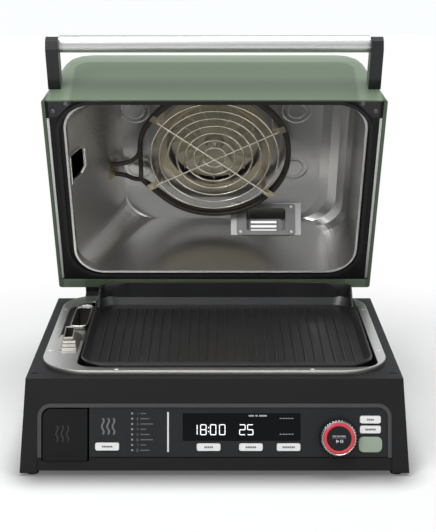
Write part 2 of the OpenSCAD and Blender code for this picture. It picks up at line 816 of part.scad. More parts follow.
module pan_cut(z_rim, z_floor, lip) {
    hull() {
        translate([0, 0, z_rim]) linear_extrude(eps) plate2([lip, pan_w - lip], [lip, pan_len - lip],
            pan_r - lip, pan_r - lip, $fn = 48);
        translate([0, 0, z_floor]) linear_extrude(eps)
            plate2([lip + pan_draft, pan_w - lip - pan_draft], [lip + pan_draft, pan_len - lip - pan_draft],
                pan_r - lip - 3, pan_r - lip - 3, $fn = 48);
    }
}

module grill_pan() {
    rib_x0 = pan_draft + 14;
    rib_pitch = (pan_w - 2 * rib_x0) / (rib_count - 1);
    splash_r = 18;
    color("#1b1b1c") on_pan() {
        difference() {
            union() {
                difference() {
                    pan_cut(-2, -pan_depth - pan_wall, 1);
                    translate([0, 0, -1]) slab([-10, pan_w + 10], [-10, pan_len + 10], [-0.5, 20]);
                }
                // rolled rim
                slab([0, pan_w], [0, pan_len], [-2.6, 0], pan_r);
                // splash wall along the back
                translate([0, pan_len - 4, 0]) rotate([90, 0, 0]) translate([0, 0, -pan_wall])
                    linear_extrude(pan_wall) hull() {
                    translate([pan_r * 0.6, -2]) square([pan_w - pan_r * 1.2, 1]);
                    for (x = [pan_r * 0.6 + 5 + splash_r, pan_w - pan_r * 0.6 - 5 - splash_r])
                        translate([x, splash_h - splash_r]) circle(splash_r, $fn = 32);
                }
            }
            difference() {
                pan_cut(0.1, -pan_depth, pan_lip);
                translate([0, pan_len - 4 - eps, -1]) cube([pan_w, 10, 2]);
            }
        }
        for (i = [0:rib_count - 1])
            translate([rib_x0 + i * rib_pitch, pan_len - 26, -pan_depth - eps]) rotate([90, 0, 0])
                linear_extrude(pan_len - 52)
                polygon([[-rib_w / 2, 0], [-0.7, rib_h], [0.7, rib_h], [rib_w / 2, 0]]);
    }
}

// ---- lid shell and rim --------------------------------------------------------------------------
// the domed outside of the lid, drawn in by off
module lid_block(off) {
    hull() for (i = [-1:crown_steps]) {
        dx = slice_in(i, side_draft, crown_side, off) + off;
        ds = slice_in(i, end_draft, crown_end, off) + off;
        translate([0, 0, slice_t(i, off)]) linear_extrude(eps)
            plate([-lid_w / 2 + dx, lid_w / 2 - dx], [ds, lid_len - ds], max(slice_r(i) - off, 1), $fn = 48);
    }
}

vent_lean = atan2(vent_top[1] - vent_foot[1], vent_top[0] - vent_foot[0]);
vent_len = norm(vent_top - vent_foot);
vent_sight = 12;

// frame of the slanted pad: x to the right, y up the pad, z out towards the shell
module on_pad() {
    translate([0, vent_foot[0], vent_foot[1]]) rotate([vent_lean, 0, 0]) children();
}

vent_mouth_x = [50, 95];

module vent_shaft(grow, w) {
    on_pad() translate([0, vent_floor_v, 14]) rotate([-vent_sight, 0, 0])
        slab(vent_mouth_x + [-grow, grow], [-13 - grow, 13 + grow], w, 2);
}

vent_floor_v = 17;

module lid_shell() {
    color("#7c8d79") on_lid() difference() {
        lid_block(0);
        difference() {
            lid_block(shell_wall);
            slab([-lid_w, lid_w], [-10, lid_len + 10], [-10, 1.2]);
        }
        slab([-lid_w / 2 + side_flange, lid_w / 2 - side_flange], [rear_flange, lid_len - front_flange], [-1,
            3]);
        vent_shaft(0, [8, 70]);
        // holes for the screws of the handle posts
        mirrored() for (t = post_screw_t) translate([post_x + post_w / 2 - 3, lid_len - 12, t]) rotate([-90,
            0, 0]) cylinder(r = 2, h = 20);
    }
}

module liner_outline(grow) {
    plate([liner_x[0] - grow, liner_x[1] + grow], [liner_s[0] - grow, liner_s[1] + grow], liner_r + grow);
}

module lid_frame() {
    color("#1c1c1d") on_lid() difference() {
        slab([-lid_w / 2 + side_flange + slip - 3, lid_w / 2 - side_flange - slip + 3], [rear_flange + slip,
            lid_len - front_flange - slip], frame_t);
        translate([0, 0, -1]) linear_extrude(8) liner_outline(sheet + slip);
        lid_rim_clear();
    }
}

// keeps the frame off the leaning side walls
module lid_rim_clear() {
    mirrored() translate([lid_w / 2 - shell_wall - slip, -1, 0])
        rotate([0, -atan(side_draft / lid_shoulder), 0]) cube([20, lid_len + 2, 20]);
}

module gasket_outline(inset) {
    half = lid_w / 2 - 15;
    plate([-half + inset, half - inset], [19.5 + inset, lid_len - front_flange - 0.3 - inset], 50 - inset);
}

module lid_gasket() {
    color("#121212") on_lid() difference() {
        translate([0, 0, -gasket_out]) linear_extrude(frame_t[0] + gasket_out) difference() {
            gasket_outline(0);
            gasket_outline(gasket_w);
        }
        // it lies over the turned lip of the liner
        translate([0, 0, -eps]) linear_extrude(5) liner_outline(sheet + run);
        translate([0, 0, frame_t[0] - lip_t - run]) linear_extrude(5) liner_outline(liner_lip + run);
    }
}

module side_strips() {
    color("#a9a9a9") on_lid() mirrored() slab([lid_w / 2 - 8.2, lid_w / 2 - side_flange - slip], [17,
        lid_len - 28.5], [0.6, frame_t[0]]);
}

bracket_x = lid_w / 2 - 8.6;
bracket_screw_at = [[bracket_x - 22.7, -5.8], [bracket_x - 5.6, -17.4]];

module corner_brackets() {
    color("#3b3b3d") on_lid() mirrored() difference() {
        translate([0, 0, 0.6]) linear_extrude(frame_t[0] - 0.6)
            polygon([[bracket_x, lid_len - 2.6], [bracket_x - 30.9, lid_len - 2.6], [bracket_x - 28,
                lid_len - 7.6],
                [bracket_x - 9.4, lid_len - 26.6], [bracket_x, lid_len - 26.6]]);
        for (p = bracket_screw_at) translate([p[0], lid_len + p[1], -1]) cylinder(r = 2, h = 6);
    }
}

module bracket_screws() {
    color("#8a8a8a") on_lid() mirrored() for (p = bracket_screw_at) translate([p[0], lid_len + p[1], -0.5])
        difference() {
        union() {
            cylinder(r1 = 2.6, r2 = 3.2, h = 1.1);
            translate([0, 0, 1]) cylinder(r = 2, h = frame_t[0] - 0.5);
        }
        translate([-2, -0.4, -0.1]) cube([4, 0.8, 0.7]);
        translate([-0.4, -2, -0.1]) cube([0.8, 4, 0.7]);
    }
}

// ---- liner --------------------------------------------------------------------------------------
function liner_a(i) = 90 * (i - 1) / liner_steps;
function liner_t(i) = i < 0 ? 0 : i == 0 ? liner_slope_t : liner_h - liner_round * (1 - sin(liner_a(i)));
function liner_left(t) = liner_x[0] + liner_slope_x * max(t - liner_slope_t, 0) / (liner_h - liner_slope_t);
function liner_right(i) = liner_x[1] - 0.035 * min(liner_t(i), liner_h - liner_round)
    - (i < 1 ? 0 : liner_round * (1 - cos(liner_a(i))));

module liner_block(off) {
    hull() for (i = [-1:liner_steps + 1]) {
        t = liner_t(i);
        d = liner_end_draft * t / liner_h;
        translate([0, 0, t + (i > liner_steps ? off : 0)]) linear_extrude(eps)
            plate([liner_left(t) - off, liner_right(i) + off], [liner_s[0] + d - off, liner_s[1] - d + off],
                liner_r + off + (i < 2 ? 0 : 12 * (1 - cos(liner_a(i)))), $fn = 48);
    }
}

module pad_wedge(off) {
    on_pad() slab([vent_x[0] - 8 + off, vent_x[1] + 8 - off], [-60, 120], [off, 100]);
}

// hexagonal port in the left wall, over the smoke chimney when the lid is down
module port(grow, x0, x1) {
    rotate([90, 0, 90]) translate([0, 0, x0]) linear_extrude(x1 - x0)
        polygon([[port_s[0] - grow, port_t[0] - grow], [port_s[1] + grow, port_t[0] - grow],
            [port_s[1] + grow, port_t[1] - 8],
            [port_s[1] - 6, port_t[1] + grow], [port_s[0] + 6, port_t[1] + grow], [port_s[0] - grow,
                port_t[1] - 8]]);
}

port_s = [180, 220];
port_t = [9, 37];
emboss = [[113, 224], [113, 127], [-109, 224], [-109, 127]];

module lid_liner() {
    color("#8f8e8b") on_lid() difference() {
        union() {
            difference() {
                liner_block(sheet);
                pad_wedge(sheet);
            }
            translate([0, 0, frame_t[0] - lip_t]) linear_extrude(lip_t) liner_outline(liner_lip);
            translate([0, fan_s, liner_h - 2]) cylinder(r = recess_r + sheet, h = recess_h + 2 + sheet);
            for (p = emboss) translate([p[0], p[1], liner_h]) cylinder(r = 20.5, h = sheet + 1);
        }
        difference() {
            translate([0, 0, -eps]) liner_block(0);
            pad_wedge(0);
        }
        translate([0, 0, -1]) linear_extrude(2) liner_outline(slip);
        translate([0, fan_s, liner_h - 10]) cylinder(r = recess_r, h = recess_h + 10);
        for (p = emboss) translate([p[0], p[1], liner_h - eps]) difference() {
            cylinder(r = 19.5, h = 1);
            translate([0, 0, -1]) cylinder(r = 12, h = 5);
        }
        port(0, -230, -150);
        on_pad() slab([44, 105], [5.5, 43.5], [-5, 10], 6);
        translate([0, fan_s, liner_h]) cylinder(r = shaft_r + 1, h = 40);
        for (leg = [[terminal_legs[0], element_t[1]], [terminal_legs[1], element_t[0]]])
            translate([-190, leg[0], leg[1]]) rotate([0, 90, 0]) cylinder(r = tube_d / 2 + slip, h = 60);
    }
}

module port_lip() {
    color("#c4c4c1") on_lid() difference() {
        intersection() {
            difference() {
                translate([-0.6, 0, 0]) liner_block(-0.8);
                liner_block(-2.2);
            }
            port(2.6, -230, -150);
        }
        port(0, -240, -140);
        slab([-240, 240], [0, lid_len], [-5, port_t[0] - 4]);
    }
}

// ---- vent ---------------------------------------------------------------------------------------
module vent_slots(w) {
    on_pad() translate([0, vent_floor_v, 14]) rotate([-vent_sight, 0, 0])
        for (i = [-1:1]) slab(vent_slot_x, [i * 6.2 - 1.7, i * 6.2 + 1.7], w);
}

module vent_box() {
    color("#7e7d7b") on_lid() difference() {
        on_pad() difference() {
            union() {
                slab(vent_x, [1.2, vent_len - 2], [-1.2, 0], 4);
                slab([44.4, 104.6], [5.9, 43.1], [-1.2, 15], 6);
            }
            hull() {
                translate([0, 0, -2]) linear_extrude(eps) plate([46, 103], [7.5, 41.5], 5, $fn = 32);
                translate([0, 0, 14]) linear_extrude(eps) plate([50, 99], [8.5, 28], 4, $fn = 32);
            }
            for (p = vent_screw_at) translate([p[0], p[1], -3]) cylinder(r = 1.7, h = 6);
        }
        vent_slots([-6, 20]);
    }
}

vent_screw_at = [[38, 6], [111, 6], [38, vent_len - 6], [111, vent_len - 6]];

module vent_screws() {
    color("#d0d0cd") on_lid() on_pad() for (p = vent_screw_at) translate([p[0], p[1], 0]) {
        translate([0, 0, -2.4]) cylinder(r1 = 2, r2 = 3, h = 1.2);
        translate([0, 0, -1.3]) cylinder(r = 1.7, h = 1.3);
    }
}

module vent_grille() {
    color("#3a3f39") on_lid() difference() {
        vent_shaft(-slip, [1.4, 31]);
        // cut flush with the back of the vent box
        on_pad() slab([40, 110], [-60, 120], [-20, 15 + slip / 2]);
        difference() {
            vent_shaft(-1.6, [0, 80]);
            vent_shaft(1, [20, 22]);
        }
        vent_slots([10, 80]);
    }
}

// ---- heating tube, fan and guard ----------------------------------------------------------------
oct = element_r * tan(22.5);
terminal_legs = [131, 152];
element_back = [[terminal_x - 12, terminal_legs[0]], [terminal_x + 8, terminal_legs[0]], [-113, 121],
    [-element_r + 4.3, 121],
    [-oct, fan_s - element_r], [oct, fan_s - element_r], [element_r, fan_s - oct], [element_r, fan_s + oct],
    [oct, fan_s + element_r], [-oct, fan_s + element_r], [-element_r, fan_s + oct], [-element_r, fan_s - 28]];
element_front = [[-element_r, fan_s - 36], [-element_r, fan_s - oct], [-oct, fan_s - element_r], [oct,
    fan_s - element_r],
    [element_r, fan_s - oct], [element_r, fan_s + oct], [oct, fan_s + element_r], [-oct, fan_s + element_r],
    [-element_r, fan_s + oct], [-element_r, terminal_legs[1]], [terminal_x - 12, terminal_legs[1]]];

module upper_element() {
    color("#3a3734") on_lid() swept_tube(concat(flat_path(element_back, 11, element_t[1]),
        flat_path(element_front, 11, element_t[0])),
        tube_d / 2);
}

module terminal_plate() {
    lean = atan(liner_slope_x / (liner_h - liner_slope_t));
    mid_t = (element_t[0] + element_t[1]) / 2;
    color("#8a7f72") on_lid() difference() {
        translate([liner_left(mid_t), 0, mid_t]) rotate([0, lean, 0]) slab([0, 1.6], terminal_s, [-10, 10], 1);
        for (leg = [[terminal_legs[0], element_t[1]], [terminal_legs[1], element_t[0]]])
            translate([-190, leg[0], leg[1]]) rotate([0, 90, 0]) cylinder(r = tube_d / 2 + run, h = 60);
    }
}

module fan_plate() {
    color("#6d6c69") on_lid() difference() {
        translate([0, fan_s, liner_h - 1.2]) rotate([0, 0, 22.5]) cylinder(r = 99, h = 1.2, $fn = 8);
        translate([0, fan_s, liner_h - 5]) cylinder(r = recess_r, h = 10);
    }
}

module shroud_ring() {
    color("#a39f94") on_lid() translate([0, fan_s, 0]) difference() {
        union() {
            translate([0, 0, liner_h - 2.4]) cylinder(r = shroud_r[1], h = 1.2);
            translate([0, 0, liner_h - 5]) cylinder(r = shroud_r[0] + 1, h = 3.8);
            for (i = [0:15]) rotate([0, 0, 22.5 * i + 8]) translate([shroud_r[1] - 5.5, 0, liner_h - 3.2])
                cylinder(r1 = 1.2, r2 = 1.9, h = 1);
        }
        translate([0, 0, liner_h - 8]) cylinder(r = shroud_r[0] - 1, h = 10);
    }
}

function polar(r, a) = [r * cos(a), r * sin(a)];

module fan_guard() {
    step = guard_r / (guard_rings + 0.35);
    color("#c8c2b2") on_lid() translate([0, fan_s, guard_t]) {
        for (i = [0:guard_rings - 1]) rotate_extrude() translate([guard_r - i * step, 0]) circle(wire_d / 2,
            $fn = 24);
        for (k = [0, 2]) {
            a = polar(lug_r, lug_a[k]);
            b = polar(lug_r, lug_a[k + 1]);
            translate([0, 0, -wire_d * 0.8 * (1 - k / 4)]) rod([a[0], a[1], 0], [b[0], b[1], 0], wire_d / 2);
        }
    }
}

module guard_clips() {
    color("#9a8d7c") on_lid() translate([0, fan_s, 0]) for (a = lug_a) rotate([0, 0, a]) difference() {
        union() {
            slab([lug_r - 8, lug_r - 5.6], [-5, 5], [guard_t + 1.4, liner_h - 1.2]);
            slab([lug_r - 8, lug_r + 9], [-5, 5], [guard_t + 0.3, guard_t + 1.5], 1);
            translate([lug_r - 1, 0, guard_t - 3]) cylinder(r = 2.4, h = 3.4);
        }
        translate([-200, -wire_d / 2 - run, guard_t - 2.4 - wire_d / 2]) cube([400, wire_d + 2 * run,
            2.6 + wire_d / 2]);
    }
}

shaft_r = 3;

module fan_wheel() {
    hub_r = 14;
    blade_in = 26;
    color("#8c7f70") on_lid() translate([0, fan_s, 0]) {
        translate([0, 0, fan_z[0] + 6]) cylinder(r = fan_r, h = 1.2);
        translate([0, 0, fan_z[0] + 1]) cylinder(r1 = hub_r - 4, r2 = hub_r, h = 5.2);
        translate([0, 0, fan_z[0]]) cylinder(r = shaft_r, h = recess_h + liner_h - fan_z[0] + 1.4);
        for (i = [0:fan_blades - 1]) rotate([0, 0, 360 / fan_blades * i]) translate([0, 0, fan_z[0]])
            intersection() {
            translate([(fan_r + blade_in) / 2, 24, 0]) difference() {
                cylinder(r = 30, h = fan_z[1] - fan_z[0] - 1);
                translate([0, 0, -1]) cylinder(r = 28.8, h = 30);
            }
            difference() {
                cylinder(r = fan_r - 0.5, h = 20);
                translate([0, 0, -1]) cylinder(r = blade_in, h = 30);
            }
            translate([0, -30, 0]) cube([80, 50, 30]);
        }
    }
}

module fan_nut() {
    color("#d5d3cc") on_lid() translate([0, fan_s, fan_z[0] - 4]) {
        cylinder(r = 5.4, h = 4, $fn = 6);
        translate([0, 0, -3]) cylinder(r = 2.4, h = 3.2);
    }
}

module fan_motor() {
    back = liner_h + recess_h + sheet;
    color("#6a6a6c") on_lid() translate([0, fan_s, back]) difference() {
        union() {
            cylinder(r = 30, h = 10);
            slab([-44, 44], [-8, 8], [0, 2.4], 4);
        }
        translate([0, 0, -1]) cylinder(r = shaft_r + run, h = 4);
    }
}

// ---- handle and hinge ---------------------------------------------------------------------------
post_x = handle_w / 2 - post_w;
post_screw_t = [40, 54];

module handle_posts() {
    wall = end_draft / lid_shoulder;
    color("#1b1b1c") on_lid() mirrored() difference() {
        translate([post_x, 0, 0]) rotate([90, 0, 90]) linear_extrude(post_w)
            polygon([[lid_len - wall * post_t[0], post_t[0]], [lid_len + post_rise - 9, post_t[0] + 4],
                [lid_len + post_rise, post_t[0] + 12], [lid_len + post_rise, post_t[1] - 3],
                [lid_len + post_rise - 5, post_t[1] + 2], [lid_len - wall * post_t[1], post_t[1]]]);
        translate([post_x - 1, bar_s, bar_t]) rotate([0, 90, 0]) cylinder(r = bar_d / 2 - 3 + run, h = 9);
        // seam of the cap
        slab([post_x - 1, handle_w / 2 + 1], [bar_s - 0.4, bar_s + 0.4], [post_t[1] - 4, post_t[1] + 10]);
    }
}

module handle_bar() {
    color("#d9d9d6") on_lid() translate([0, bar_s, bar_t]) rotate([0, 90, 0]) {
        translate([0, 0, -post_x]) cylinder(r = bar_d / 2, h = 2 * post_x);
        translate([0, 0, -post_x - 7]) cylinder(r = bar_d / 2 - 3, h = 2 * post_x + 14);
    }
}

module on_swing() {
    on_base() translate([0, hinge_y, hinge_z]) rotate([-open_angle, 0, 0]) translate([0, -hinge_y, -hinge_z])
        children();
}

module hinge_arms() {
    wall = end_draft / lid_shoulder;
    foot = rim_gap + 1.5;
    top = rim_gap + 46;
    color("#1a1a1b") on_swing() mirrored() difference() {
        translate([arm_x[0], 0, 0]) rotate([90, 0, 90]) linear_extrude(arm_x[1] - arm_x[0]) union() {
            polygon([[lid_back - wall * 1.5, foot], [lid_back - wall * 46, top], [lid_back + arm_wall - 2,
                top], [lid_back + arm_wall + 4, foot + 8],
                [hinge_y + knuckle_r - 1, hinge_z + 6], [hinge_y + knuckle_r - 1, hinge_z],
                    [hinge_y - knuckle_r + 1, hinge_z],
                [hinge_y - knuckle_r, foot]]);
            translate([hinge_y, hinge_z]) circle(knuckle_r);
        }
        translate([arm_x[0] - 1, hinge_y, hinge_z]) rotate([0, 90, 0]) cylinder(r = pin_r + 0.05, h = 60);
    }
}

module hinge_brackets() {
    inner = hinge_y - knuckle_r - 3;
    low = hinge_z - 40;
    color("#353537") on_base() mirrored() difference() {
        union() {
            slab([arm_x[0] - 5, arm_x[1] + 5], [inner - 2, inner], [low, -base_wall]);
            slab([arm_x[0] - 5, arm_x[1] + 5], [inner - 2, base_depth], [low, low + 2]);
            for (x = [arm_x[0] - 5, arm_x[1] + 0.5]) {
                slab([x, x + 4.5], [inner, base_depth], [low, 0]);
                translate([x, hinge_y, hinge_z]) rotate([0, 90, 0]) cylinder(r = knuckle_r, h = 4.5);
            }
        }
        translate([arm_x[0] - 6, hinge_y, hinge_z]) rotate([0, 90, 0]) cylinder(r = pin_r, h = 60);
    }
}

module hinge_pins() {
    color("#9c9c9c") on_base() mirrored() {
        translate([arm_x[0] - 5, hinge_y, hinge_z]) rotate([0, 90, 0]) cylinder(r = pin_r,
            h = arm_x[1] - arm_x[0] + 10);
    }
}

base_housing();
bottom_plate();
feet();
rear_cover();
panel_trim();
control_panel();
display_window();
indicator_leds();
panel_divider();
control_board();
deck_plate();
deck_rivets();
side_well();
smoke_chimney();
smoke_box();
igniter();
heating_tub();
lower_element();
hinge_brackets();
hinge_pins();
top_screws();
cord_gland();
drawer_front();
drawer_tray();
dial_body();
dial_trim_ring();
dial_light_ring();
start_button();
smoke_button();
time_button();
temp_button();
probe_button();
skip_button();
cancel_button();
light_button();
grill_pan();
lid_shell();
lid_frame();
lid_gasket();
lid_liner();
side_strips();
corner_brackets();
bracket_screws();
upper_element();
terminal_plate();
fan_plate();
shroud_ring();
fan_guard();
guard_clips();
vent_box();
vent_grille();
vent_screws();
port_lip();
handle_bar();
handle_posts();
fan_motor();
hinge_arms();
fan_wheel();
fan_nut();
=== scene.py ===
import math

import bmesh
import bpy
from mathutils import Matrix, Vector


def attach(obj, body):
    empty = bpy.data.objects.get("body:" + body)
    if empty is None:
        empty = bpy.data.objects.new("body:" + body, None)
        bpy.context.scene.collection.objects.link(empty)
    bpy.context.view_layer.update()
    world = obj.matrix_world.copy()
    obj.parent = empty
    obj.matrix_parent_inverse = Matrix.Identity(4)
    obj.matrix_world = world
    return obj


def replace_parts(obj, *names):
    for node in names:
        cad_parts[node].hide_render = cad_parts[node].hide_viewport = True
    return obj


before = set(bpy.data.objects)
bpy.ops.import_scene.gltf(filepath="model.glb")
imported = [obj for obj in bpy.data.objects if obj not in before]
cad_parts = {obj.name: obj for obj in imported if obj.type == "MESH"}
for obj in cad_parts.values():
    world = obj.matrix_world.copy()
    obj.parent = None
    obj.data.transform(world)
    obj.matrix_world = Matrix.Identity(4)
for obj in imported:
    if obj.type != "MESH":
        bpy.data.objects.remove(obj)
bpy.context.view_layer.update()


# ---- Base housing ----------------------------------------------------------------------------------
# The tub-shaped housing of the base, its floor, back cover and cord gland: black ABS, injection moulded
# with a fine spark-eroded grain, screwed together from below.
mm = 0.001


def linear(red, green, blue):
    """A colour that is read as 0-255 display values, as the scene-linear colour that shaders take."""
    def channel(v):
        v /= 255
        return v / 12.92 if v <= 0.04045 else ((v + 0.055) / 1.055) ** 2.4
    return (channel(red), channel(green), channel(blue), 1)


def shaded(colour, k):
    """A colour that is k times as bright."""
    return tuple(min(1, c * k) for c in colour[:3]) + (1,)


def node(tree, kind, values=None, links=None, **settings):
    """Adds a shader node with its settings, the constants on its sockets, and what is linked into it."""
    made = tree.nodes.new("ShaderNode" + kind)
    for setting, value in settings.items():
        setattr(made, setting, value)
    for socket, value in (values or {}).items():
        made.inputs[socket].default_value = value
    for socket, source in (links or {}).items():
        tree.links.new(source, made.inputs[socket])
    return made


def ramped(tree, value, low=0, high=1, to_low=0, to_high=1, curve="SMOOTHSTEP"):
    """A value that runs from one level to another while another value runs from low to high."""
    values = {"From Min": low, "From Max": high, "To Min": to_low, "To Max": to_high}
    return node(tree, "MapRange", values, {"Value": value}, interpolation_type=curve).outputs["Result"]


def surface(name, colour, rough, metal=0.0, tone=0.12, blotch=9.0, grain=900.0, stretch=(1, 1, 1),
            bump=0.1, relief=0.05, rough_play=0.08, round_edge=0.35, coat=0.0, specular=0.5):
    """One finish: two layers of noise vary its colour and roughness, the finer makes the bump."""
    made = bpy.data.materials.new(name)
    made.use_nodes = True
    tree = made.node_tree
    shader = tree.nodes["Principled BSDF"]
    place = node(tree, "TexCoord").outputs["Object"]
    turned = node(tree, "Mapping", {"Scale": stretch}, {"Vector": place}).outputs["Vector"]
    broad = node(tree, "TexNoise", {"Scale": blotch, "Detail": 3}, {"Vector": turned}).outputs["Fac"]
    fine = node(tree, "TexNoise", {"Scale": grain, "Detail": 2}, {"Vector": turned}).outputs["Fac"]
    half = node(tree, "Math", {1: 0.55}, {0: broad}, operation="MULTIPLY").outputs[0]
    both = node(tree, "Math", {1: 0.45}, {0: fine, 2: half}, operation="MULTIPLY_ADD").outputs[0]
    ramp = node(tree, "ValToRGB", links={"Fac": both})
    for stop, position, k in zip(ramp.color_ramp.elements, (0.34, 0.66), (1 - tone, 1 + tone)):
        stop.position = position
        stop.color = shaded(colour, k)
    tree.links.new(ramp.outputs["Color"], shader.inputs["Base Color"])
    glossy, dull = max(0.02, rough - rough_play), min(1, rough + rough_play)
    tree.links.new(ramped(tree, both, 0.3, 0.7, glossy, dull, "LINEAR"), shader.inputs["Roughness"])
    rounding = node(tree, "Bevel", {"Radius": round_edge * mm}, samples=4).outputs["Normal"]
    dents = node(tree, "Bump", {"Strength": bump, "Distance": relief * mm},
                 {"Height": fine, "Normal": rounding})
    tree.links.new(dents.outputs["Normal"], shader.inputs["Normal"])
    shader.inputs["Metallic"].default_value = metal
    shader.inputs["Coat Weight"].default_value = coat
    shader.inputs["Coat Roughness"].default_value = 0.12
    shader.inputs["Specular IOR Level"].default_value = specular
    return made


def wears(material, *nodes):
    """Puts a finish on CAD nodes."""
    for name in nodes:
        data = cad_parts[name].data
        data.materials.clear()
        data.materials.append(material)


wears(surface("housing_grain", linear(19, 19, 20), 0.54, tone=0.1, grain=2600, bump=0.3, relief=0.04,
              specular=0.22), "base_housing", "bottom_plate", "rear_cover")
wears(surface("gland_rubber", linear(24, 24, 24), 0.72, grain=1800, bump=0.3), "cord_gland")


# ---- Feet ------------------------------------------------------------------------------------------
# Four soft rubber pads under the corners of the base, dull and slightly dusty. Each is pushed from
# below into a post of the housing.
wears(surface("foot_rubber", linear(26, 26, 26), 0.85, tone=0.2, grain=2200, bump=0.5, round_edge=0.8),
      "feet")


# ---- Front panel -----------------------------------------------------------------------------------
# The sloping control panel: a dark plate with a very fine silk finish inside a paler, slightly glossy
# arch of trim. Both are moulded and snap into the housing, with the circuit board behind them.
wears(surface("panel_silk", linear(21, 22, 24), 0.5, tone=0.05, grain=3200, bump=0.15, relief=0.03,
              specular=0.3), "control_panel")
wears(surface("trim_satin", linear(62, 62, 63), 0.32, tone=0.06, grain=2400, bump=0.1, relief=0.03,
              specular=0.4), "panel_trim")
wears(surface("circuit_board", linear(30, 92, 58), 0.5, grain=700, tone=0.25), "control_board")

# A point on the panel is given by x, the distance down the slope from the front top edge of the base,
# and the height off the slope, all in millimetres.
slope = math.radians(15)
top_edge_y, top_edge_z = -219.089, 110.2
panel_front = -0.4
print_t = 0.06


def slope_matrix(x, down, out):
    """From a flat drawing in millimetres, with x right and y up, to its place on the panel."""
    right = Vector((1, 0, 0))
    up = Vector((0, math.sin(slope), math.cos(slope)))
    off = Vector((0, -math.cos(slope), math.sin(slope)))
    at = Vector((x, top_edge_y, top_edge_z)) - down * up + out * off
    turn = Matrix((right, up, off)).transposed().to_4x4()
    return Matrix.Translation(at * mm) @ turn @ Matrix.Scale(mm, 4)


def piece(name, bm, material, body, place, smooth=False):
    """Finishes a bmesh as a named piece that rides on a body."""
    bm.transform(place)
    data = bpy.data.meshes.new(name)
    bm.to_mesh(data)
    bm.free()
    for face in data.polygons:
        face.use_smooth = smooth
    data.set_sharp_from_angle(angle=math.radians(46))
    data.materials.append(material)
    made = bpy.data.objects.new(name, data)
    bpy.context.scene.collection.objects.link(made)
    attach(made, body)
    return made


def bar(bm, x, y, z=(0, print_t)):
    """A plain block between two corners: a print, where no height is given, is thinner than paper."""
    block = bmesh.ops.create_cube(bm, size=1)["verts"]
    bmesh.ops.scale(bm, vec=(x[1] - x[0], y[1] - y[0], z[1] - z[0]), verts=block)
    middle = ((x[0] + x[1]) / 2, (y[0] + y[1]) / 2, (z[0] + z[1]) / 2)
    bmesh.ops.translate(bm, vec=middle, verts=block)
    return block


# ---- Display ---------------------------------------------------------------------------------------
# A smoked acrylic window set flush in the panel, with the clock's and the timer's white segments lit
# behind it, and rows of small unlit dashes above and beside them, which have a faint painted glow.
wears(surface("smoked_window", linear(6, 7, 9), 0.16, tone=0.3, blotch=4, grain=60, bump=0.0,
              rough_play=0.02, specular=0.12, round_edge=0.4), "display_window")


def glowing_plastic(name, colour, strength):
    """A plastic that glows: its own pale colour, and a glow that noise makes a little uneven."""
    made = surface(name, colour, 0.35, tone=0.03, grain=500, bump=0.02)
    tree = made.node_tree
    shader = tree.nodes["Principled BSDF"]
    ramp = next(n for n in tree.nodes if n.type == "VALTORGB")
    tree.links.new(ramp.outputs["Color"], shader.inputs["Emission Color"])
    shader.inputs["Emission Strength"].default_value = strength
    return made


seven = {"0": "abcdef", "1": "bc", "2": "abged", "3": "abgcd", "4": "fgbc", "5": "afgcd",
         "6": "afgedc", "7": "abc", "8": "abcdefg"}


def digit(bm, mark, x, y, w, h, stroke):
    """One figure of seven straight segments, whose lower left corner is at x, y."""
    gap, mid = stroke * 0.18, h / 2
    level_of = {"a": h - stroke / 2, "g": mid, "d": stroke / 2}
    side_of = {"f": (0, 1), "b": (1, 1), "e": (0, 0), "c": (1, 0)}
    for part in seven[mark]:
        if part in level_of:
            centre, inset = y + level_of[part], stroke / 2 + gap
            bar(bm, (x + inset, x + w - inset), (centre - stroke / 2, centre + stroke / 2))
        else:
            side, half = side_of[part]
            left = x + side * (w - stroke)
            low = y + half * (mid - stroke / 2) + stroke / 2
            bar(bm, (left, left + stroke), (low + gap, low + mid - stroke / 2 - gap))


display_place = slope_matrix(0, 65.9, -0.3)
digit_h, digit_w, digit_stroke = 12.6, 7.4, 1.05
colon_x, colon_w, colon_rows = -7.4, 1.3, (3.6, 8.2)
figures = bmesh.new()
for mark, x in (("1", -27), ("8", -16.6), ("0", -5.2), ("0", 5.4), ("2", 28.8), ("5", 38)):
    digit(figures, mark, x, 0, digit_w, digit_h, digit_stroke)
for y in colon_rows:
    bar(figures, (colon_x, colon_x + colon_w), (y, y + colon_w))
lit_white = glowing_plastic("lit_segments", linear(232, 234, 236), 0.75)
piece("display_figures", figures, lit_white, "base", display_place)

dash_x, dash_pitch, dash_w, dash_h, dash_rows = 76, 3.4, 2.2, 0.9, (0.6, 19)
label_foot, label_top = 21.6, 23.4
dashes = bmesh.new()
for x, w in ((40, 6), (47.5, 3), (52, 9)):
    bar(dashes, (x, x + w), (label_foot, label_top))
for y in dash_rows:
    for step in range(5):
        left = dash_x + dash_pitch * step
        bar(dashes, (left, left + dash_w), (y, y + dash_h))
# The unlit dashes and the small labels beside them glow a little: a painted glow.
dashes_painted_glow = glowing_plastic("dim_segments", linear(150, 152, 156), 0.25)
piece("display_dashes", dashes, dashes_painted_glow, "base", display_place)


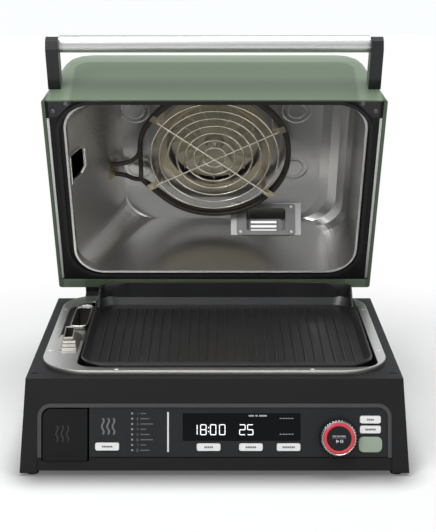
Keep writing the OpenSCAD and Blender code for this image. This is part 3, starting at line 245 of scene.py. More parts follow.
# ---- Indicator lights ------------------------------------------------------------------------------
# Eight small light guides of clear plastic in a row down the panel, each with a plain number and a
# dash of its own length printed beside it in grey, and the pale line that divides the panel.
wears(glowing_plastic("light_guides", linear(150, 152, 154), 0.1), "indicator_leds")
wears(glowing_plastic("divider_line", linear(206, 208, 210), 0.15), "panel_divider")
print_grey = surface("grey_print", linear(104, 106, 109), 0.55, tone=0.04, grain=1500, bump=0.05)
led_first, led_pitch = 40.7, 6.11
number_x, number_w, number_h, number_stroke = -90.6, 1.9, 3.4, 0.5
rule_x, rule_w, rule_more, rule_h = number_x + 4.4, 6.6, 4, 1
numbers = bmesh.new()
for step in range(8):
    y = led_first - step * led_pitch
    digit(numbers, str(step + 1), number_x, y - number_h / 2, number_w, number_h, number_stroke)
    bar(numbers, (rule_x, rule_x + rule_w + rule_more * (step % 3)), (y - rule_h / 2, y + rule_h / 2))
piece("light_numbers", numbers, print_grey, "base", slope_matrix(0, 2 * led_first, panel_front))


# ---- Smoke mark ------------------------------------------------------------------------------------
# Three wavy upright strokes over the smoke button. They are printed on the panel in the same grey as
# the numbers of the indicator lights.
wave_pitch, wave_h, wave_bend = 6.2, 19, math.radians(38)
smoke_x, smoke_down, smoke_stroke = -131, 65.2, 2.1


def wave(bm, x, stroke):
    """One wavy stroke: a point is spun into three arcs that bend left and right, then widened."""
    radius = wave_h / 3 / (2 * math.sin(wave_bend))
    tip = bmesh.ops.create_vert(bm, co=(x, 0, print_t))["vert"][0]
    for arc in range(3):
        side = 1 if arc % 2 else -1
        centre = tip.co + Vector((side * radius * math.cos(wave_bend), radius * math.sin(wave_bend), 0))
        spun = bmesh.ops.spin(bm, geom=[tip], cent=centre, axis=(0, 0, -side), angle=2 * wave_bend, steps=8)
        tip = next(g for g in spun["geom_last"] if isinstance(g, bmesh.types.BMVert))
    line = [e for e in bm.edges if not e.link_faces]
    wide = bmesh.ops.extrude_edge_only(bm, edges=line)["geom"]
    moved = [g for g in wide if isinstance(g, bmesh.types.BMVert)]
    bmesh.ops.translate(bm, vec=(stroke, 0, 0), verts=moved)


smoke_mark = bmesh.new()
for step in range(3):
    wave(smoke_mark, smoke_x + wave_pitch * step, smoke_stroke)
piece("smoke_mark", smoke_mark, print_grey, "base", slope_matrix(0, smoke_down, panel_front))


# ---- Push buttons ----------------------------------------------------------------------------------
# Long rounded keys of glossy ABS that stand just proud of the panel: white ones, and a green one with
# softer corners. The white ones have a row of small printed blocks in the middle.
key_white = surface("key_white", linear(232, 232, 230), 0.28, tone=0.02, grain=1400, bump=0.06, coat=0.35,
                    round_edge=0.8)
wears(key_white, "smoke_button", "time_button", "temp_button", "probe_button", "skip_button",
      "cancel_button")
wears(surface("key_green", linear(147, 162, 143), 0.34, tone=0.03, grain=1400, bump=0.06, coat=0.3,
              round_edge=1.2), "light_button")
print_dark = surface("dark_print", linear(72, 73, 76), 0.6, tone=0.05, grain=1500, bump=0.05)
button_face = 0.85
block_pitch, block_w, block_h, block_from = 2.1, 1.55, 2.1, 0.3
lower_row = 79.8
for name, x, down, w in (("smoke", -124.8, 79.1, 12), ("time", -6.8, lower_row, 10),
                         ("temp", 42.4, lower_row, 12), ("probe", 86.3, lower_row, 14),
                         ("skip", 181.4, 47.8, 9), ("cancel", 181.4, 59.3, 12)):
    legend = bmesh.new()
    blocks = round(w / block_pitch)
    for step in range(blocks):
        left = (step - blocks / 2) * block_pitch + block_from
        bar(legend, (left, left + block_w), (-block_h / 2, block_h / 2))
    piece(name + "_legend", legend, print_dark, name, slope_matrix(x, down, button_face))


# ---- Dial ------------------------------------------------------------------------------------------
# A black knurled dial that turns round the fixed start button. A turned chrome bezel edges its front,
# and inside that a rounded ring of clear red plastic is lit from behind.
dial_x, dial_down = 144, 68.4
dial_place = slope_matrix(dial_x, dial_down, 0)
dial_black = surface("dial_black", linear(24, 24, 26), 0.38, tone=0.1, grain=1500, bump=0.12,
                     round_edge=0.3)
wears(dial_black, "dial_body")
knurls, collar_base, collar_top, collar_h, knurl_depth = 36, 23.3, 20.9, 9.2, 0.945
collar = bmesh.new()
bmesh.ops.create_cone(collar, cap_ends=True, segments=4 * knurls, radius1=collar_base,
                      radius2=collar_top, depth=collar_h)
dips = [v for v in collar.verts
        if round(math.atan2(v.co.y, v.co.x) / math.tau * 4 * knurls) % 4 in (0, 1)]
bmesh.ops.scale(collar, vec=(knurl_depth, knurl_depth, 1), verts=dips)
bmesh.ops.translate(collar, vec=(0, 0, collar_h / 2 + 0.1), verts=collar.verts)
piece("dial_collar", collar, dial_black, "dial", dial_place)


def turned_ring(bm, centre, radius, half_w, half_h, segments, steps):
    """A ring turned from an oval section, which lies flat round a centre."""
    section = (Matrix.Translation((centre[0] + radius, centre[1], centre[2]))
               @ Matrix.Rotation(math.pi / 2, 4, "X") @ Matrix.Diagonal((half_w, half_h, 1, 1)))
    oval = bmesh.ops.create_circle(bm, segments=segments, radius=1, matrix=section)["verts"]
    edges = [e for e in bm.edges if e.verts[0] in oval]
    bmesh.ops.spin(bm, geom=oval + edges, cent=centre, axis=(0, 0, 1), angle=math.tau, steps=steps,
                   use_merge=True)
    bmesh.ops.recalc_face_normals(bm, faces=bm.faces)


dial_chrome = surface("dial_chrome", linear(226, 227, 230), 0.12, metal=1, tone=0.04, grain=800, bump=0.03,
                      rough_play=0.04, round_edge=0.5)
wears(dial_chrome, "dial_trim_ring")
bezel_r, bezel_up, bezel_half = 20.1, 9.95, 0.5
bezel = bmesh.new()
turned_ring(bezel, (0, 0, bezel_up), bezel_r, bezel_half, bezel_half, 16, 96)
piece("dial_bezel", bezel, dial_chrome, "dial", dial_place, smooth=True)
dial_red = glowing_plastic("dial_red", linear(196, 30, 40), 0.12)
dial_red.node_tree.nodes["Principled BSDF"].inputs["Coat Weight"].default_value = 0.8
glow_r, glow_up, glow_half_w, glow_half_h = 15.9, 11.2, 2.35, 1.3
glow = bmesh.new()
turned_ring(glow, (0, 0, glow_up), glow_r, glow_half_w, glow_half_h, 24, 96)
red_ring = piece("dial_glow", glow, dial_red, "dial", dial_place, smooth=True)
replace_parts(red_ring, "dial_light_ring")


# ---- Start button ----------------------------------------------------------------------------------
# The flat round button in the middle of the dial, in a dull dark plastic. A row of dashes, a thin rule
# and a play and a pause sign are printed on it in white.
wears(surface("start_face", linear(22, 23, 25), 0.5, tone=0.08, grain=1600, bump=0.1, specular=0.2,
              round_edge=0.8), "start_button")
print_white = surface("white_print", linear(196, 198, 200), 0.55, tone=0.04, grain=1500, bump=0.05)
start_face = 12.25
play_r, pause_w = 2.4, 1.1
words_y, line_y, pause_y = (2.3, 3.3), (0.6, 0.9), (-5, -1.4)
start_mark = bmesh.new()
for x, w in ((-7.6, 4.4), (-2.4, 3), (1.4, 6)):
    bar(start_mark, (x, x + w), words_y)
bar(start_mark, (-8, 8), line_y)
play_place = Matrix.Translation((-2.2, -3.2, print_t / 2)) @ Matrix.Rotation(-math.pi / 2, 4, "Z")
bmesh.ops.create_cone(start_mark, cap_ends=True, segments=3, radius1=play_r, radius2=play_r,
                      depth=print_t, matrix=play_place)
for x in (1.4, 3.4):
    bar(start_mark, (x, x + pause_w), pause_y)
piece("start_mark", start_mark, print_white, "start", slope_matrix(dial_x, dial_down, start_face))


# ---- Smoke drawer ----------------------------------------------------------------------------------
# A flat moulded front with a finger lip along its foot, on a pressed steel tray. A wavy mark is moulded
# proud of the front in the same dark plastic.
wears(surface("drawer_silk", linear(15, 15, 16), 0.48, tone=0.06, grain=2800, bump=0.2, relief=0.03,
              specular=0.18), "drawer_front")
wears(surface("tray_steel", linear(128, 127, 124), 0.34, metal=1, tone=0.15, grain=500,
              stretch=(1, 0.05, 1), bump=0.12), "drawer_tray")
mark_plastic = surface("moulded_mark", linear(40, 40, 42), 0.36, tone=0.08, grain=2000, bump=0.1)
drawer_x, drawer_down, drawer_stroke, drawer_face, mark_t = -184, 74, 1.5, -0.25, 0.35
moulded_mark = bmesh.new()
for step in range(3):
    wave(moulded_mark, drawer_x + wave_pitch * step, drawer_stroke)
drawer_place = slope_matrix(0, drawer_down, drawer_face)
drawer_mark = piece("drawer_mark", moulded_mark, mark_plastic, "drawer", drawer_place)
drawer_mark.modifiers.new("raised", "SOLIDIFY").thickness = mark_t * mm


# ---- Deck ------------------------------------------------------------------------------------------
# The top of the base is one pressed sheet of stainless steel with a matt grain and a rolled rim. Below
# the rim its colour is darker, painted shade in the sunk part. Rivets hold it to the housing.
def painted_light_over(material, colour, factor, blend_type="MULTIPLY"):
    """Lays another colour over a finish, by a factor that says where; it carries painted shade and painted
    highlights.
    """
    tree = material.node_tree
    base = tree.nodes["Principled BSDF"].inputs["Base Color"]
    under = base.links[0].from_socket
    mix = node(tree, "Mix", {"B": colour}, {"Factor": factor, "A": under}, data_type="RGBA",
               blend_type=blend_type)
    tree.links.new(mix.outputs["Result"], base)


rim_foot, full_shade_below = 0.1158, 0.1122
deck_steel = surface("deck_steel", linear(222, 221, 218), 0.34, metal=1, tone=0.05, blotch=12, grain=1500,
                     stretch=(0.05, 1, 1), bump=0.05, rough_play=0.05, round_edge=0.8)
tree = deck_steel.node_tree
height = node(tree, "SeparateXYZ", links={0: node(tree, "TexCoord").outputs["Object"]}).outputs["Z"]
# Painted shade: the sheet's colour darkens from the rim's foot down into the sunk part.
painted_light_over(deck_steel, linear(150, 148, 144), ramped(tree, height, rim_foot, full_shade_below))
wears(deck_steel, "deck_plate")
# The rivet heads are pale and only half metallic, so they show as bright dots: a painted highlight.
wears(surface("rivet_head", linear(236, 236, 232), 0.5, metal=0.5, tone=0.05, blotch=60, grain=1500,
              bump=0.03, round_edge=0.3), "deck_rivets")


def in_base(x, behind, up):
    """A point given by x, the distance behind the base's front top edge and the height over it."""
    return Vector((x, behind + top_edge_y, up + top_edge_z))


# The sunk part of the deck turns its back left corner in a wide curve.
sunk, sunk_left, sunk_back = 1.02, -196.4, 302.4
turn_from, turn_r, turn_sweep, corner_right, corner_h = 262, 40, math.radians(72), -168, 5
corner = bmesh.new()
start = bmesh.ops.create_vert(corner, co=in_base(sunk_left, turn_from, sunk))["vert"]
bmesh.ops.spin(corner, geom=start, cent=in_base(sunk_left + turn_r, turn_from, sunk), axis=(0, 0, -1),
               angle=turn_sweep, steps=14)
outer = bmesh.ops.create_vert(corner, co=in_base(sunk_left - 0.2, sunk_back, sunk))["vert"]
side = bmesh.ops.create_vert(corner, co=in_base(corner_right, sunk_back, sunk))["vert"]
curve = sorted((v for v in corner.verts if v not in outer + side), key=lambda v: v.co.y)
outline = curve + side + outer
for a, b in zip(outline, outline[1:] + outline[:1]):
    if not corner.edges.get((a, b)):
        corner.edges.new((a, b))
bmesh.ops.contextual_create(corner, geom=corner.edges[:])
raised = bmesh.ops.extrude_face_region(corner, geom=corner.faces[:])["geom"]
upper = [g for g in raised if isinstance(g, bmesh.types.BMVert)]
bmesh.ops.translate(corner, vec=(0, 0, corner_h), verts=upper)
bmesh.ops.recalc_face_normals(corner, faces=corner.faces)
millimetres = Matrix.Scale(mm, 4)
piece("deck_corner", corner, deck_steel, "base", millimetres)


# ---- Smoke chimney ---------------------------------------------------------------------------------
# A separate pressing of bare steel, warmed by smoke: a flange on the deck, three steps and a neck whose
# mouth slopes down to the front. Behind, its foot reaches down into the sunk part of the deck.
def rounded(bm, x, behind, up, corner_r):
    """A flat rectangle with rounded corners."""
    sheet = bmesh.ops.create_grid(bm, x_segments=1, y_segments=1, size=0.5)["verts"]
    bmesh.ops.scale(bm, vec=(x[1] - x[0], behind[1] - behind[0], 1), verts=sheet)
    middle = in_base((x[0] + x[1]) / 2, (behind[0] + behind[1]) / 2, up)
    bmesh.ops.translate(bm, vec=middle, verts=sheet)
    bmesh.ops.bevel(bm, geom=sheet, offset=corner_r, segments=5, profile=0.5, affect="VERTICES",
                    material=-1)
    bm.faces.ensure_lookup_table()
    return bm.faces[-1]


def drawn(bm, up, corner_r, rings):
    """Draws a rounded rectangle on through rings of left, right, front, back, height and rise."""
    before = rings[0]
    face = rounded(bm, before[:2], before[2:4], up, corner_r)
    for step, ring in enumerate(rings):
        made = bmesh.ops.extrude_face_region(bm, geom=[face])["geom"]
        if step:
            bmesh.ops.delete(bm, geom=[face], context="FACES_ONLY")
        face = next(g for g in made if isinstance(g, bmesh.types.BMFace))
        near, far = in_base(before[0], before[2], 0), in_base(before[1], before[3], 0)
        low, high = in_base(ring[0], ring[2], ring[4]), in_base(ring[1], ring[3], ring[4])
        for v in face.verts:
            along = (v.co.y - near.y) / (far.y - near.y)
            v.co.x = low.x + (v.co.x - near.x) / (far.x - near.x) * (high.x - low.x)
            v.co.y = low.y + along * (high.y - low.y)
            v.co.z = low.z + along * ring[5]
        before = ring
    return face


def pressing(bm, x, behind, up, corner_r, edge_r):
    """A block with rounded corners and a softened upper edge."""
    low, high = in_base(x[0], behind[0], up[0]), in_base(x[1], behind[1], up[1])
    own = set(bar(bm, (low.x, high.x), (low.y, high.y), (low.z, high.z)))
    upright = [e for e in bm.edges if set(e.verts) <= own and abs(e.verts[0].co.z - e.verts[1].co.z) > 0.1]
    made = bmesh.ops.bevel(bm, geom=upright, offset=corner_r, segments=5, profile=0.5, affect="EDGES",
                           material=-1)
    own = {v for v in own | set(made["verts"]) if v.is_valid}
    upper = [e for e in bm.edges
             if set(e.verts) <= own and all(abs(v.co.z - high.z) < 0.001 for v in e.verts)]
    bmesh.ops.bevel(bm, geom=upper, offset=edge_r, segments=3, profile=0.5, affect="EDGES", material=-1)


deck_up, over_sunk = 6.05, sunk + 0.03
bore_left, bore_right, bore_front, bore_back, bore_foot, bore_rise = -186.1, -176.7, 112.8, 137.8, 3, 5.2
foot_x, foot_behind, foot_top = (-195, -168), (128.3, 149.7), 6.5
flange_rings = ((-195.5, -167.5, 80, 150, 6.2, 0), (-195.1, -167.9, 80.4, 149.6, 6.35, 0),
                (-188.6, -168.6, 86, 147, 6.6, 0))
step_rings = ((-188.2, -168.9, 86.6, 146.5, 8.7, 0), (-188.2, -169.3, 87.9, 146, 9.3, 0),
              (-188.1, -170, 94, 145, 9.15, 0),
              (-188.1, -170.2, 94.5, 144.6, 10.8, 0), (-188.1, -170.8, 95.8, 144, 11.4, 0),
              (-188.1, -171.6, 101.8, 143, 11.2, 0),
              (-188.1, -171.9, 102.3, 142.6, 12.7, 0), (-188, -172.4, 103.6, 142, 13.3, 0),
              (-187.7, -174.6, 110, 140.2, 13, 0))
neck_rings = ((-187.1, -175.4, 111.2, 139.2, 13.2, 0.4), (-187.1, -175.4, 111.2, 139.2, 14.1, 5),
              (-187.7, -174.9, 110.7, 139.7, 14.7, 5.4), (-187.6, -175, 110.9, 139.5, 15.3, 5.6),
              (-186.3, -176.5, 112.6, 138, 15.3, 5.4))
bore_rings = ((bore_left, bore_right, bore_front, bore_back, 14.8, bore_rise),
              (bore_left, bore_right, bore_front, bore_back, bore_foot, 0))
flue = bmesh.new()
drawn(flue, deck_up, 3.5, flange_rings + step_rings + neck_rings + bore_rings)
pressing(flue, foot_x, foot_behind, (over_sunk, foot_top), 3.4, 0.3)
bmesh.ops.recalc_face_normals(flue, faces=flue.faces)
flue_steel = surface("flue_steel", linear(188, 185, 178), 0.33, metal=1, tone=0.12, blotch=26, grain=900,
                     bump=0.04, rough_play=0.06, round_edge=0.8)
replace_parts(piece("chimney", flue, flue_steel, "base", millimetres, smooth=True), "smoke_chimney")

# Soot lines the bore.
soot = bmesh.new()
layer = 0.1
soot_ring = (bore_left + layer, bore_right - layer, bore_front + layer, bore_back - layer, 14.5,
             bore_rise)
soot_top = drawn(soot, bore_foot + layer, 2.2, (soot_ring,))
bmesh.ops.delete(soot, geom=[soot_top], context="FACES_ONLY")
soot_black = surface("soot", linear(20, 19, 18), 0.7, tone=0.3, blotch=60, grain=900, bump=0.3)
piece("flue_soot", soot, soot_black, "base", millimetres)


# ---- Side well -------------------------------------------------------------------------------------
# A deep-drawn cup of darker steel beside the pan, hung in the deck behind the chimney. It has a bright
# turned rim all round.
well_left, well_right, well_front, well_back, well_corner = -187.8, -165.2, 188.4, 287.2, 6.5
wears(surface("well_steel", linear(120, 117, 112), 0.32, metal=1, tone=0.14, blotch=40, grain=700,
              bump=0.06), "side_well")
bright_steel = surface("bright_steel", linear(214, 214, 210), 0.24, metal=1, tone=0.06, blotch=30,
                       grain=1500, stretch=(1, 0.1, 1), bump=0.04, rough_play=0.05, round_edge=0.6)
rim = bmesh.new()
rim_rings = [(well_left + step_in, well_right - step_in, well_front + step_in, well_back - step_in, up, 0)
             for step_in, up in ((0, 5.8), (0.3, 6.3), (0.9, 6.5), (1.5, 6.3), (1.7, 5.8), (1.7, -21))]
drawn(rim, over_sunk, well_corner, rim_rings)
bmesh.ops.delete(rim, geom=[f for f in rim.faces if len(f.verts) > 4], context="FACES_ONLY")
bmesh.ops.recalc_face_normals(rim, faces=rim.faces)
piece("well_rim", rim, bright_steel, "base", millimetres, smooth=True)


# ---- Smoke box and tub -----------------------------------------------------------------------------
# Under the chimney a folded steel box holds the igniter's rod, and both are brown from smoke. The tub
# under the pan is deep-drawn steel, dull and blotched from heat.
wears(surface("smoked_steel", linear(92, 86, 78), 0.45, metal=1, tone=0.3, blotch=30, grain=400, bump=0.2),
      "smoke_box")
wears(surface("glow_rod", linear(70, 62, 58), 0.6, metal=0.5, tone=0.3, blotch=60, grain=900, bump=0.3),
      "igniter")
wears(surface("tub_steel", linear(104, 104, 102), 0.4, metal=1, tone=0.22, blotch=18, grain=420, bump=0.18,
              rough_play=0.1), "heating_tub")


# ---- Screws ----------------------------------------------------------------------------------------
# Small machine screws with a cross recess: zinc-plated and a little uneven from the plating bath, as
# is the fan's nut, duller on the lid's brackets, and blackened on the base.
wears(surface("zinc_plate", linear(214, 214, 210), 0.26, metal=1, tone=0.08, blotch=80, grain=1500,
              bump=0.04, round_edge=0.3), "vent_screws", "fan_nut")
wears(surface("dull_zinc", linear(112, 112, 114), 0.38, metal=1, tone=0.12, blotch=80, grain=1500,
              bump=0.05, round_edge=0.3), "bracket_screws")
wears(surface("black_screw", linear(34, 34, 35), 0.34, metal=0.6, tone=0.1, blotch=80, grain=1500,
              bump=0.05, round_edge=0.3), "top_screws")


# ---- Pan -------------------------------------------------------------------------------------------
# A cast aluminium plate under a black non-stick coat: fine sparkling flecks in a satin black, a little
# shinier along the ridges. Its splash wall runs on round both back corners and slopes to the rim.
pan_coat = surface("non_stick", linear(24, 24, 25), 0.36, tone=0.2, blotch=20, grain=1800, bump=0.14,
                   relief=0.04, coat=0.15, round_edge=0.7)
wears(pan_coat, "grill_pan")
pan_w, pan_len, pan_left, pan_front, pan_up, pan_tilt = 348, 265, -159.2, 22, 12, math.radians(1.7)
wall_inset, wall_corner, wall_line, wall_run, wall_foot, wall_top = 5, 16, 2.5, 22, -1, 19
wall_t, wall_edge = 3, 0.8
corner_x, wall_y = wall_inset + wall_corner, pan_len - wall_line
wings = bmesh.new()


def grown(bm, edges, move):
    """Draws a wall on from its last upright edge, and gives the new edge and its two ends."""
    made = bmesh.ops.extrude_edge_only(bm, edges=edges)["geom"]
    ends = [g for g in made if isinstance(g, bmesh.types.BMVert)]
    bmesh.ops.translate(bm, vec=move, verts=ends)
    return [g for g in made if isinstance(g, bmesh.types.BMEdge) and set(g.verts) <= set(ends)], ends


first = [bmesh.ops.create_vert(wings, co=(corner_x + wall_run, wall_y, z))["vert"][0]
         for z in (wall_foot, wall_top)]
edge, ends = grown(wings, [wings.edges.new(first)], (-wall_run, 0, 0))
spun = bmesh.ops.spin(wings, geom=edge + ends, cent=(corner_x, wall_y - wall_corner, 0), axis=(0, 0, 1),
                      angle=math.radians(90), steps=10)["geom_last"]
edge = [g for g in spun if isinstance(g, bmesh.types.BMEdge)]
for run, top in ((9, 14), (10, 6), (14, 0.4)):
    edge, ends = grown(wings, edge, (0, -run, 0))
    max(ends, key=lambda v: v.co.z).co.z = top
copied = bmesh.ops.duplicate(wings, geom=wings.verts[:] + wings.edges[:] + wings.faces[:])["geom"]
other_side = [g for g in copied if isinstance(g, bmesh.types.BMVert)]
bmesh.ops.scale(wings, vec=(-1, 1, 1), verts=other_side)
bmesh.ops.translate(wings, vec=(pan_w, 0, 0), verts=other_side)
bmesh.ops.recalc_face_normals(wings, faces=wings.faces)
pan_place = (millimetres @ Matrix.Translation(in_base(pan_left, pan_front, pan_up))
             @ Matrix.Rotation(pan_tilt, 4, "X"))
pan_wings = piece("pan_wings", wings, pan_coat, "pan", pan_place, smooth=True)
wall = pan_wings.modifiers.new("wall", "SOLIDIFY")
wall.thickness = wall_t * mm
wall.offset = 0
soft_edge = pan_wings.modifiers.new("edge", "BEVEL")
soft_edge.width = wall_edge * mm
soft_edge.segments = 2


# ---- Hinge -----------------------------------------------------------------------------------------
# Two arms on the lid and two brackets on the base, painted a satin black, turn about bright turned
# steel pins.
wears(surface("hinge_black", linear(34, 34, 34), 0.42, tone=0.12, grain=1500, bump=0.2, round_edge=0.8),
      "hinge_arms", "hinge_brackets")
wears(bright_steel, "hinge_pins")


# ---- Lower heating tube ----------------------------------------------------------------------------
# A steel-sheathed tube element under the pan, oxidised to a dull brown black, with paler patches where
# it gets hottest.
oxide = surface("oxidised_tube", linear(62, 57, 52), 0.5, metal=0.7, tone=0.35, blotch=34, grain=900,
                bump=0.2, rough_play=0.12)
wears(oxide, "lower_element")


# ---- Lid shell -------------------------------------------------------------------------------------
# A deep-drawn steel shell under a satin sage green enamel, slightly pebbled. On the flanks, beside the
# rim, the enamel is darker and duller: painted shade. Along the fold between front wall and crown it is
# paler: a painted highlight.
lid_shine, lid_gloss, flank_from, flank_to = 0.25, 0.5, 0.211, 0.2145
lid_green = surface("sage_enamel", linear(88, 105, 83), 0.38, tone=0.04, blotch=5, grain=1800, bump=0.06,
                    relief=0.05, coat=lid_shine, round_edge=1.2, rough_play=0.05, specular=lid_gloss)
tree = lid_green.node_tree
shader = tree.nodes["Principled BSDF"]
place = node(tree, "TexCoord").outputs["Object"]
across = node(tree, "SeparateXYZ", links={0: place}).outputs["X"]
from_middle = node(tree, "Math", links={0: across}, operation="ABSOLUTE").outputs[0]
flank_shade = ramped(tree, from_middle, flank_from, flank_to)
# Painted shade: a darker green on the flanks beside the rim.
painted_light_over(lid_green, (0.12, 0.26, 0.13, 1), flank_shade)
for socket, full, dull in (("Coat Weight", lid_shine, 0), ("Specular IOR Level", lid_gloss, 0.1)):
    tree.links.new(ramped(tree, flank_shade, to_low=full, to_high=dull, curve="LINEAR"), shader.inputs[socket])
open_tilt = (0, 0.8996, 0.4368)
fold_at = 0.17599
into_lid = node(tree, "VectorMath", {1: open_tilt}, {0: place}, operation="DOT_PRODUCT").outputs["Value"]
over_fold = ramped(tree, into_lid, fold_at + 0.078, fold_at + 0.098, curve="LINEAR")
near_side = ramped(tree, from_middle, 0.162, 0.186, curve="LINEAR")
both = node(tree, "CombineXYZ", links={"X": over_fold, "Y": near_side}).outputs["Vector"]
fold_highlight = node(tree, "VectorMath", links={0: both}, operation="LENGTH").outputs["Value"]
# A painted highlight: a paler green along the fold between front wall and crown, rounded at the sides.
painted_light_over(lid_green, linear(150, 167, 144), ramped(tree, fold_highlight, 0.78, 1, to_high=0.3), "MIX")
wears(lid_green, "lid_shell")


# ---- Rim frame, gasket and grille ------------------------------------------------------------------
# The rim frame is folded sheet in matt black, with an extruded rubber gasket pushed into it. The vent's
# grille behind the liner is pressed from painted sheet.
wears(surface("frame_black", linear(13, 13, 13), 0.5, tone=0.12, grain=1500, bump=0.2, specular=0.25),
      "lid_frame")
wears(surface("seal_rubber", linear(14, 14, 14), 0.55, tone=0.15, grain=1700, bump=0.3, specular=0.35),
      "lid_gasket")
wears(surface("grille_green", linear(66, 74, 64), 0.5, tone=0.15, grain=1500, bump=0.15), "vent_grille")


# ---- Lid liner -------------------------------------------------------------------------------------
# The hollow of the lid is drawn from stainless sheet with a satin finish: soft smears of light and fine
# drawing marks. The back plate of the fan and the box of the vent are the same sheet, a little duller,
# and the smoke port has a rolled lip of brighter steel.
liner_steel = surface("liner_satin", linear(193, 192, 190), 0.3, metal=1, tone=0.04, blotch=7, grain=2200,
                      stretch=(1, 0.3, 0.3), bump=0.015, relief=0.04, rough_play=0.04, round_edge=0.4)
wears(liner_steel, "lid_liner")
wears(surface("plate_satin", linear(170, 169, 165), 0.32, metal=1, tone=0.05, blotch=16, grain=1800,
              bump=0.02, rough_play=0.04), "fan_plate")
wears(surface("vent_satin", linear(132, 132, 130), 0.36, metal=1, tone=0.08, blotch=24, grain=1500,
              bump=0.03, rough_play=0.05), "vent_box")
wears(surface("pressed_steel", linear(222, 220, 214), 0.28, metal=1, tone=0.08, blotch=26, grain=900,
              bump=0.04, rough_play=0.06, round_edge=0.8), "port_lip")

hinge_behind, hinge_up, lid_open = 345, -14, math.radians(64.1)
rim_behind, rim_up = 325.8, 6.7


def lid_matrix(depth):
    """To the open lid from a drawing with x right and y from its back rim, facing out of the hollow."""
    along = Vector((0, -math.cos(lid_open), math.sin(lid_open)))
    deep = Vector((0, math.sin(lid_open), math.cos(lid_open)))
    at = (in_base(0, hinge_behind, hinge_up) + along * (hinge_behind - rim_behind)
          + deep * (rim_up + depth - hinge_up))
    turn = Matrix((Vector((1, 0, 0)), along, -deep)).transposed().to_4x4()
    return Matrix.Translation(at * mm) @ turn @ millimetres


# Four round beads, each of two rings, are pressed into the ceiling of the hollow.
ceiling, bead_h, bead_sunk = 112, 0.55, 0.05
beads = bmesh.new()
for x, from_rim in ((113, 224), (113, 127), (-109, 224), (-109, 127)):
    for radius, half_w in ((19.4, 1.1), (12.2, 0.8)):
        turned_ring(beads, (x, from_rim, 0), radius, half_w, bead_h, 10, 48)
piece("ceiling_beads", beads, liner_steel, "lid", lid_matrix(ceiling + bead_sunk), smooth=True)


# ---- Upper heating tube ----------------------------------------------------------------------------
# One oxidised steel tube, bent in two turns round the fan with wide soft corners. The outer turn lies
# nearer to the ceiling, and both ends run to the terminal plate on the left.
fan_from_rim, turn_half, tube_end, tube_r = 168, 103, -150, 3.3
outer_up, inner_up, eighth = 18, 26, math.radians(45)
corner_r = turn_half / math.cos(eighth / 2)
corners = []
for step in range(7):
    angle = (step - 2.5) * eighth
    corners.append((corner_r * math.cos(angle), fan_from_rim + corner_r * math.sin(angle)))
outer_turn = [(tube_end, 131), (-130, 131), (-113, 121), (4.3 - turn_half, 121), *corners, (-turn_half, 140)]
corner_before = (-turn_half, 2 * fan_from_rim - corners[-1][1])
inner_turn = [(-turn_half, 132), corner_before, *corners, (-turn_half, 152), (tube_end, 152)]
route = [(*at, outer_up) for at in outer_turn] + [(*at, inner_up) for at in inner_turn]
tube = bpy.data.curves.new("element", "CURVE")
tube.dimensions = "3D"
tube.bevel_depth = tube_r
tube.bevel_resolution = 5
tube.resolution_u = 10
bend = tube.splines.new("NURBS")
bend.points.add(len(route) - 1)
for point, at in zip(bend.points, route):
    point.co = (*at, 1)
bend.order_u = 3
bend.use_endpoint_u = True
# The transform scales each point's radius too, so the tube's own radius stays in millimetres.
tube.transform(lid_matrix(ceiling))
tube.materials.append(oxide)
element = bpy.data.objects.new("element_tube", tube)
bpy.context.scene.collection.objects.link(element)
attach(element, "lid")
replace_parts(element, "upper_element")
wears(surface("terminal_steel", linear(176, 158, 134), 0.34, metal=1, tone=0.15, blotch=60, grain=900,
              bump=0.06), "terminal_plate")


# ---- Side strips and brackets ----------------------------------------------------------------------
# Two bright folded steel strips stiffen the sides of the rim. Grey powder-coated brackets are screwed
# over its two front corners.
wears(surface("strip_steel", linear(214, 214, 212), 0.34, metal=1, tone=0.05, grain=1500,
              stretch=(1, 0.1, 0.1), bump=0.03), "side_strips")
wears(surface("bracket_grey", linear(44, 44, 46), 0.42, metal=0.4, tone=0.12, grain=1200, bump=0.15),
      "corner_brackets")


# ---- Fan -------------------------------------------------------------------------------------------
# The wheel and its shroud are zinc-coated sheet, slightly green and smoked. The guard is welded wire with
# a warm nickel plating, held by four folded clips, and the motor sits behind the liner.
wears(surface("shroud_steel", linear(190, 180, 158), 0.34, metal=1, tone=0.1, blotch=22, grain=1100,
              bump=0.04, rough_play=0.06), "shroud_ring", "guard_clips")
wears(surface("wheel_steel", linear(182, 176, 158), 0.36, metal=1, tone=0.12, blotch=24, grain=1100,
              bump=0.04, rough_play=0.06), "fan_wheel")
wears(surface("nickel_wire", linear(214, 208, 192), 0.2, metal=1, tone=0.12, blotch=60, grain=900,
              bump=0.05, round_edge=0.2), "fan_guard")
wears(surface("motor_case", linear(96, 96, 98), 0.4, metal=0.8, tone=0.12, grain=700, bump=0.15),
      "fan_motor")


# ---- Handle ----------------------------------------------------------------------------------------
# A turned aluminium bar, brushed along its length and clear anodised. It is held between two glossy
# black moulded posts that are screwed to the lid.
wears(surface("anodised_bar", linear(208, 208, 206), 0.34, metal=1, tone=0.04, blotch=10, grain=2600,
              stretch=(0.01, 1, 1), bump=0.015, round_edge=0.6, rough_play=0.06), "handle_bar")
wears(surface("post_black", linear(14, 14, 15), 0.3, tone=0.08, grain=1500, bump=0.08, coat=0.2,
              specular=0.35, round_edge=1.6), "handle_posts")


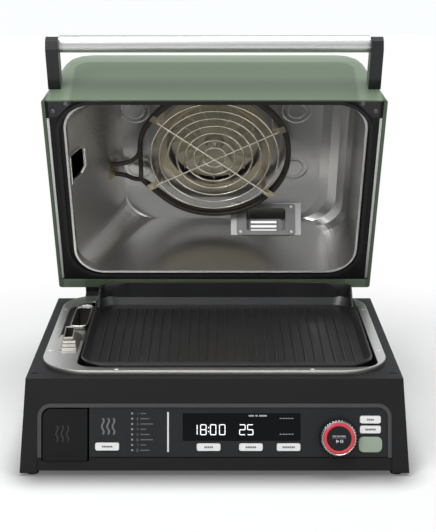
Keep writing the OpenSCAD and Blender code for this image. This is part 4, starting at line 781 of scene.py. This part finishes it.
# ---- Floor -----------------------------------------------------------------------------------------
# A plain pale floor that fades to the white of the backdrop away from the object. Its colour has a painted
# shadow: a soft darker band round the foot of the base, where the base shuts out the light of the room.
floor_half, fade_from, fade_to, fade_least = 6, 0.28, 0.72, 0.12
ground = bmesh.new()
bmesh.ops.create_grid(ground, x_segments=1, y_segments=1, size=floor_half)
floor_mesh = bpy.data.meshes.new("floor")
ground.to_mesh(floor_mesh)
ground.free()
floor = bpy.data.objects.new("floor", floor_mesh)
bpy.context.scene.collection.objects.link(floor)
floor_paint = bpy.data.materials.new("floor_white")
floor_paint.use_nodes = True
tree = floor_paint.node_tree
paint = tree.nodes["Principled BSDF"]
paint.inputs["Roughness"].default_value = 0.75
paint.inputs["Specular IOR Level"].default_value = 0.1


def worked(operation, vector, other=(0, 0, 0), output="Vector"):
    """One step of vector maths on the floor's coordinates."""
    return node(tree, "VectorMath", {1: other}, {0: vector}, operation=operation).outputs[output]


# The painted shadow: the floor's colour darkens in a band round the base's footprint.
to_middle, foot_half, band_w = (0, 0.057, 0), (0.2, 0.184, 0), 0.06
spot = node(tree, "TexCoord").outputs["Object"]
from_foot = worked("ABSOLUTE", worked("ADD", spot, to_middle))
outside = worked("MAXIMUM", worked("SUBTRACT", from_foot, foot_half))
shadow_band = ramped(tree, worked("LENGTH", outside, output="Value"), 0, band_w)
shade = node(tree, "ValToRGB", links={"Fac": shadow_band})
for stop, grey in zip(shade.color_ramp.elements, (0.13, 0.86)):
    stop.color = (grey, grey, grey, 1)
tree.links.new(shade.outputs["Color"], paint.inputs["Base Color"])
fade = ramped(tree, worked("LENGTH", spot, output="Value"), fade_from, fade_to, to_low=fade_least)
by_camera = node(tree, "LightPath").outputs["Is Camera Ray"]
seen = node(tree, "Math", links={0: fade, 1: by_camera}, operation="MULTIPLY").outputs[0]
white = node(tree, "Emission", {"Color": (1, 1, 1, 1), "Strength": 1.0}).outputs["Emission"]
blend = node(tree, "MixShader", links={"Fac": seen, 1: paint.outputs["BSDF"], 2: white})
tree.links.new(blend.outputs["Shader"], tree.nodes["Material Output"].inputs["Surface"])
floor_mesh.materials.append(floor_paint)


# ---- Room and lights -------------------------------------------------------------------------------
# The room is plain white to the camera and through glass, nearly so in reflections, and dimmer as light.
# A large box lights from the front left, a weaker one from the right, and a third over the lid.
room_dim, room_white, room_in_metal = 0.27, 1.02, 0.75
world = bpy.data.worlds.new("studio")
bpy.context.scene.world = world
world.use_nodes = True
tree = world.node_tree
room = tree.nodes["Background"]
room.inputs["Color"].default_value = (0.95, 0.97, 1, 1)
rays = node(tree, "LightPath").outputs
seen = node(tree, "Math", links={0: rays["Is Camera Ray"], 1: rays["Is Transmission Ray"]},
            operation="MAXIMUM").outputs[0]
shine = node(tree, "Math", {1: room_in_metal}, {0: rays["Is Glossy Ray"], 2: seen},
             operation="MULTIPLY_ADD").outputs[0]
level = ramped(tree, shine, to_low=room_dim, to_high=room_white, curve="LINEAR")
tree.links.new(level, room.inputs["Strength"])


def softbox(name, at, aim, size, power):
    """A rectangular area light that is turned to a point."""
    light = bpy.data.lights.new(name, "AREA")
    light.shape = "RECTANGLE"
    light.size, light.size_y = size
    light.energy = power
    box = bpy.data.objects.new(name, light)
    box.location = at
    box.rotation_euler = (Vector(aim) - Vector(at)).to_track_quat("-Z", "Y").to_euler()
    bpy.context.scene.collection.objects.link(box)


softbox("key", (-1.1, -1.5, 1.7), (0, 0, 0.15), (1.2, 1.0), 24)
softbox("fill", (1.6, -1.2, 0.9), (0, 0, 0.2), (0.9, 1.2), 5)
softbox("top", (0.1, -0.2, 2.0), (0, 0, 0.2), (1.6, 1.0), 27)


# ---- Camera ----------------------------------------------------------------------------------------
# It stands where the photograph was taken from: in front of the middle of the base, a little above it,
# and looking slightly down.
lens = bpy.data.cameras.new("photo")
lens.lens = 90.34
lens.sensor_fit = "VERTICAL"
lens.sensor_height = 36
lens.sensor_width = 36
lens.shift_x = 0.0067
lens.clip_end = 50
eye = bpy.data.objects.new("photo", lens)
eye.location = (0, -1.69092, 0.62565)
eye.rotation_euler = (math.radians(75.5162), 0, 0)
bpy.context.scene.collection.objects.link(eye)
bpy.context.scene.camera = eye
bpy.context.scene.view_settings.view_transform = "Standard"
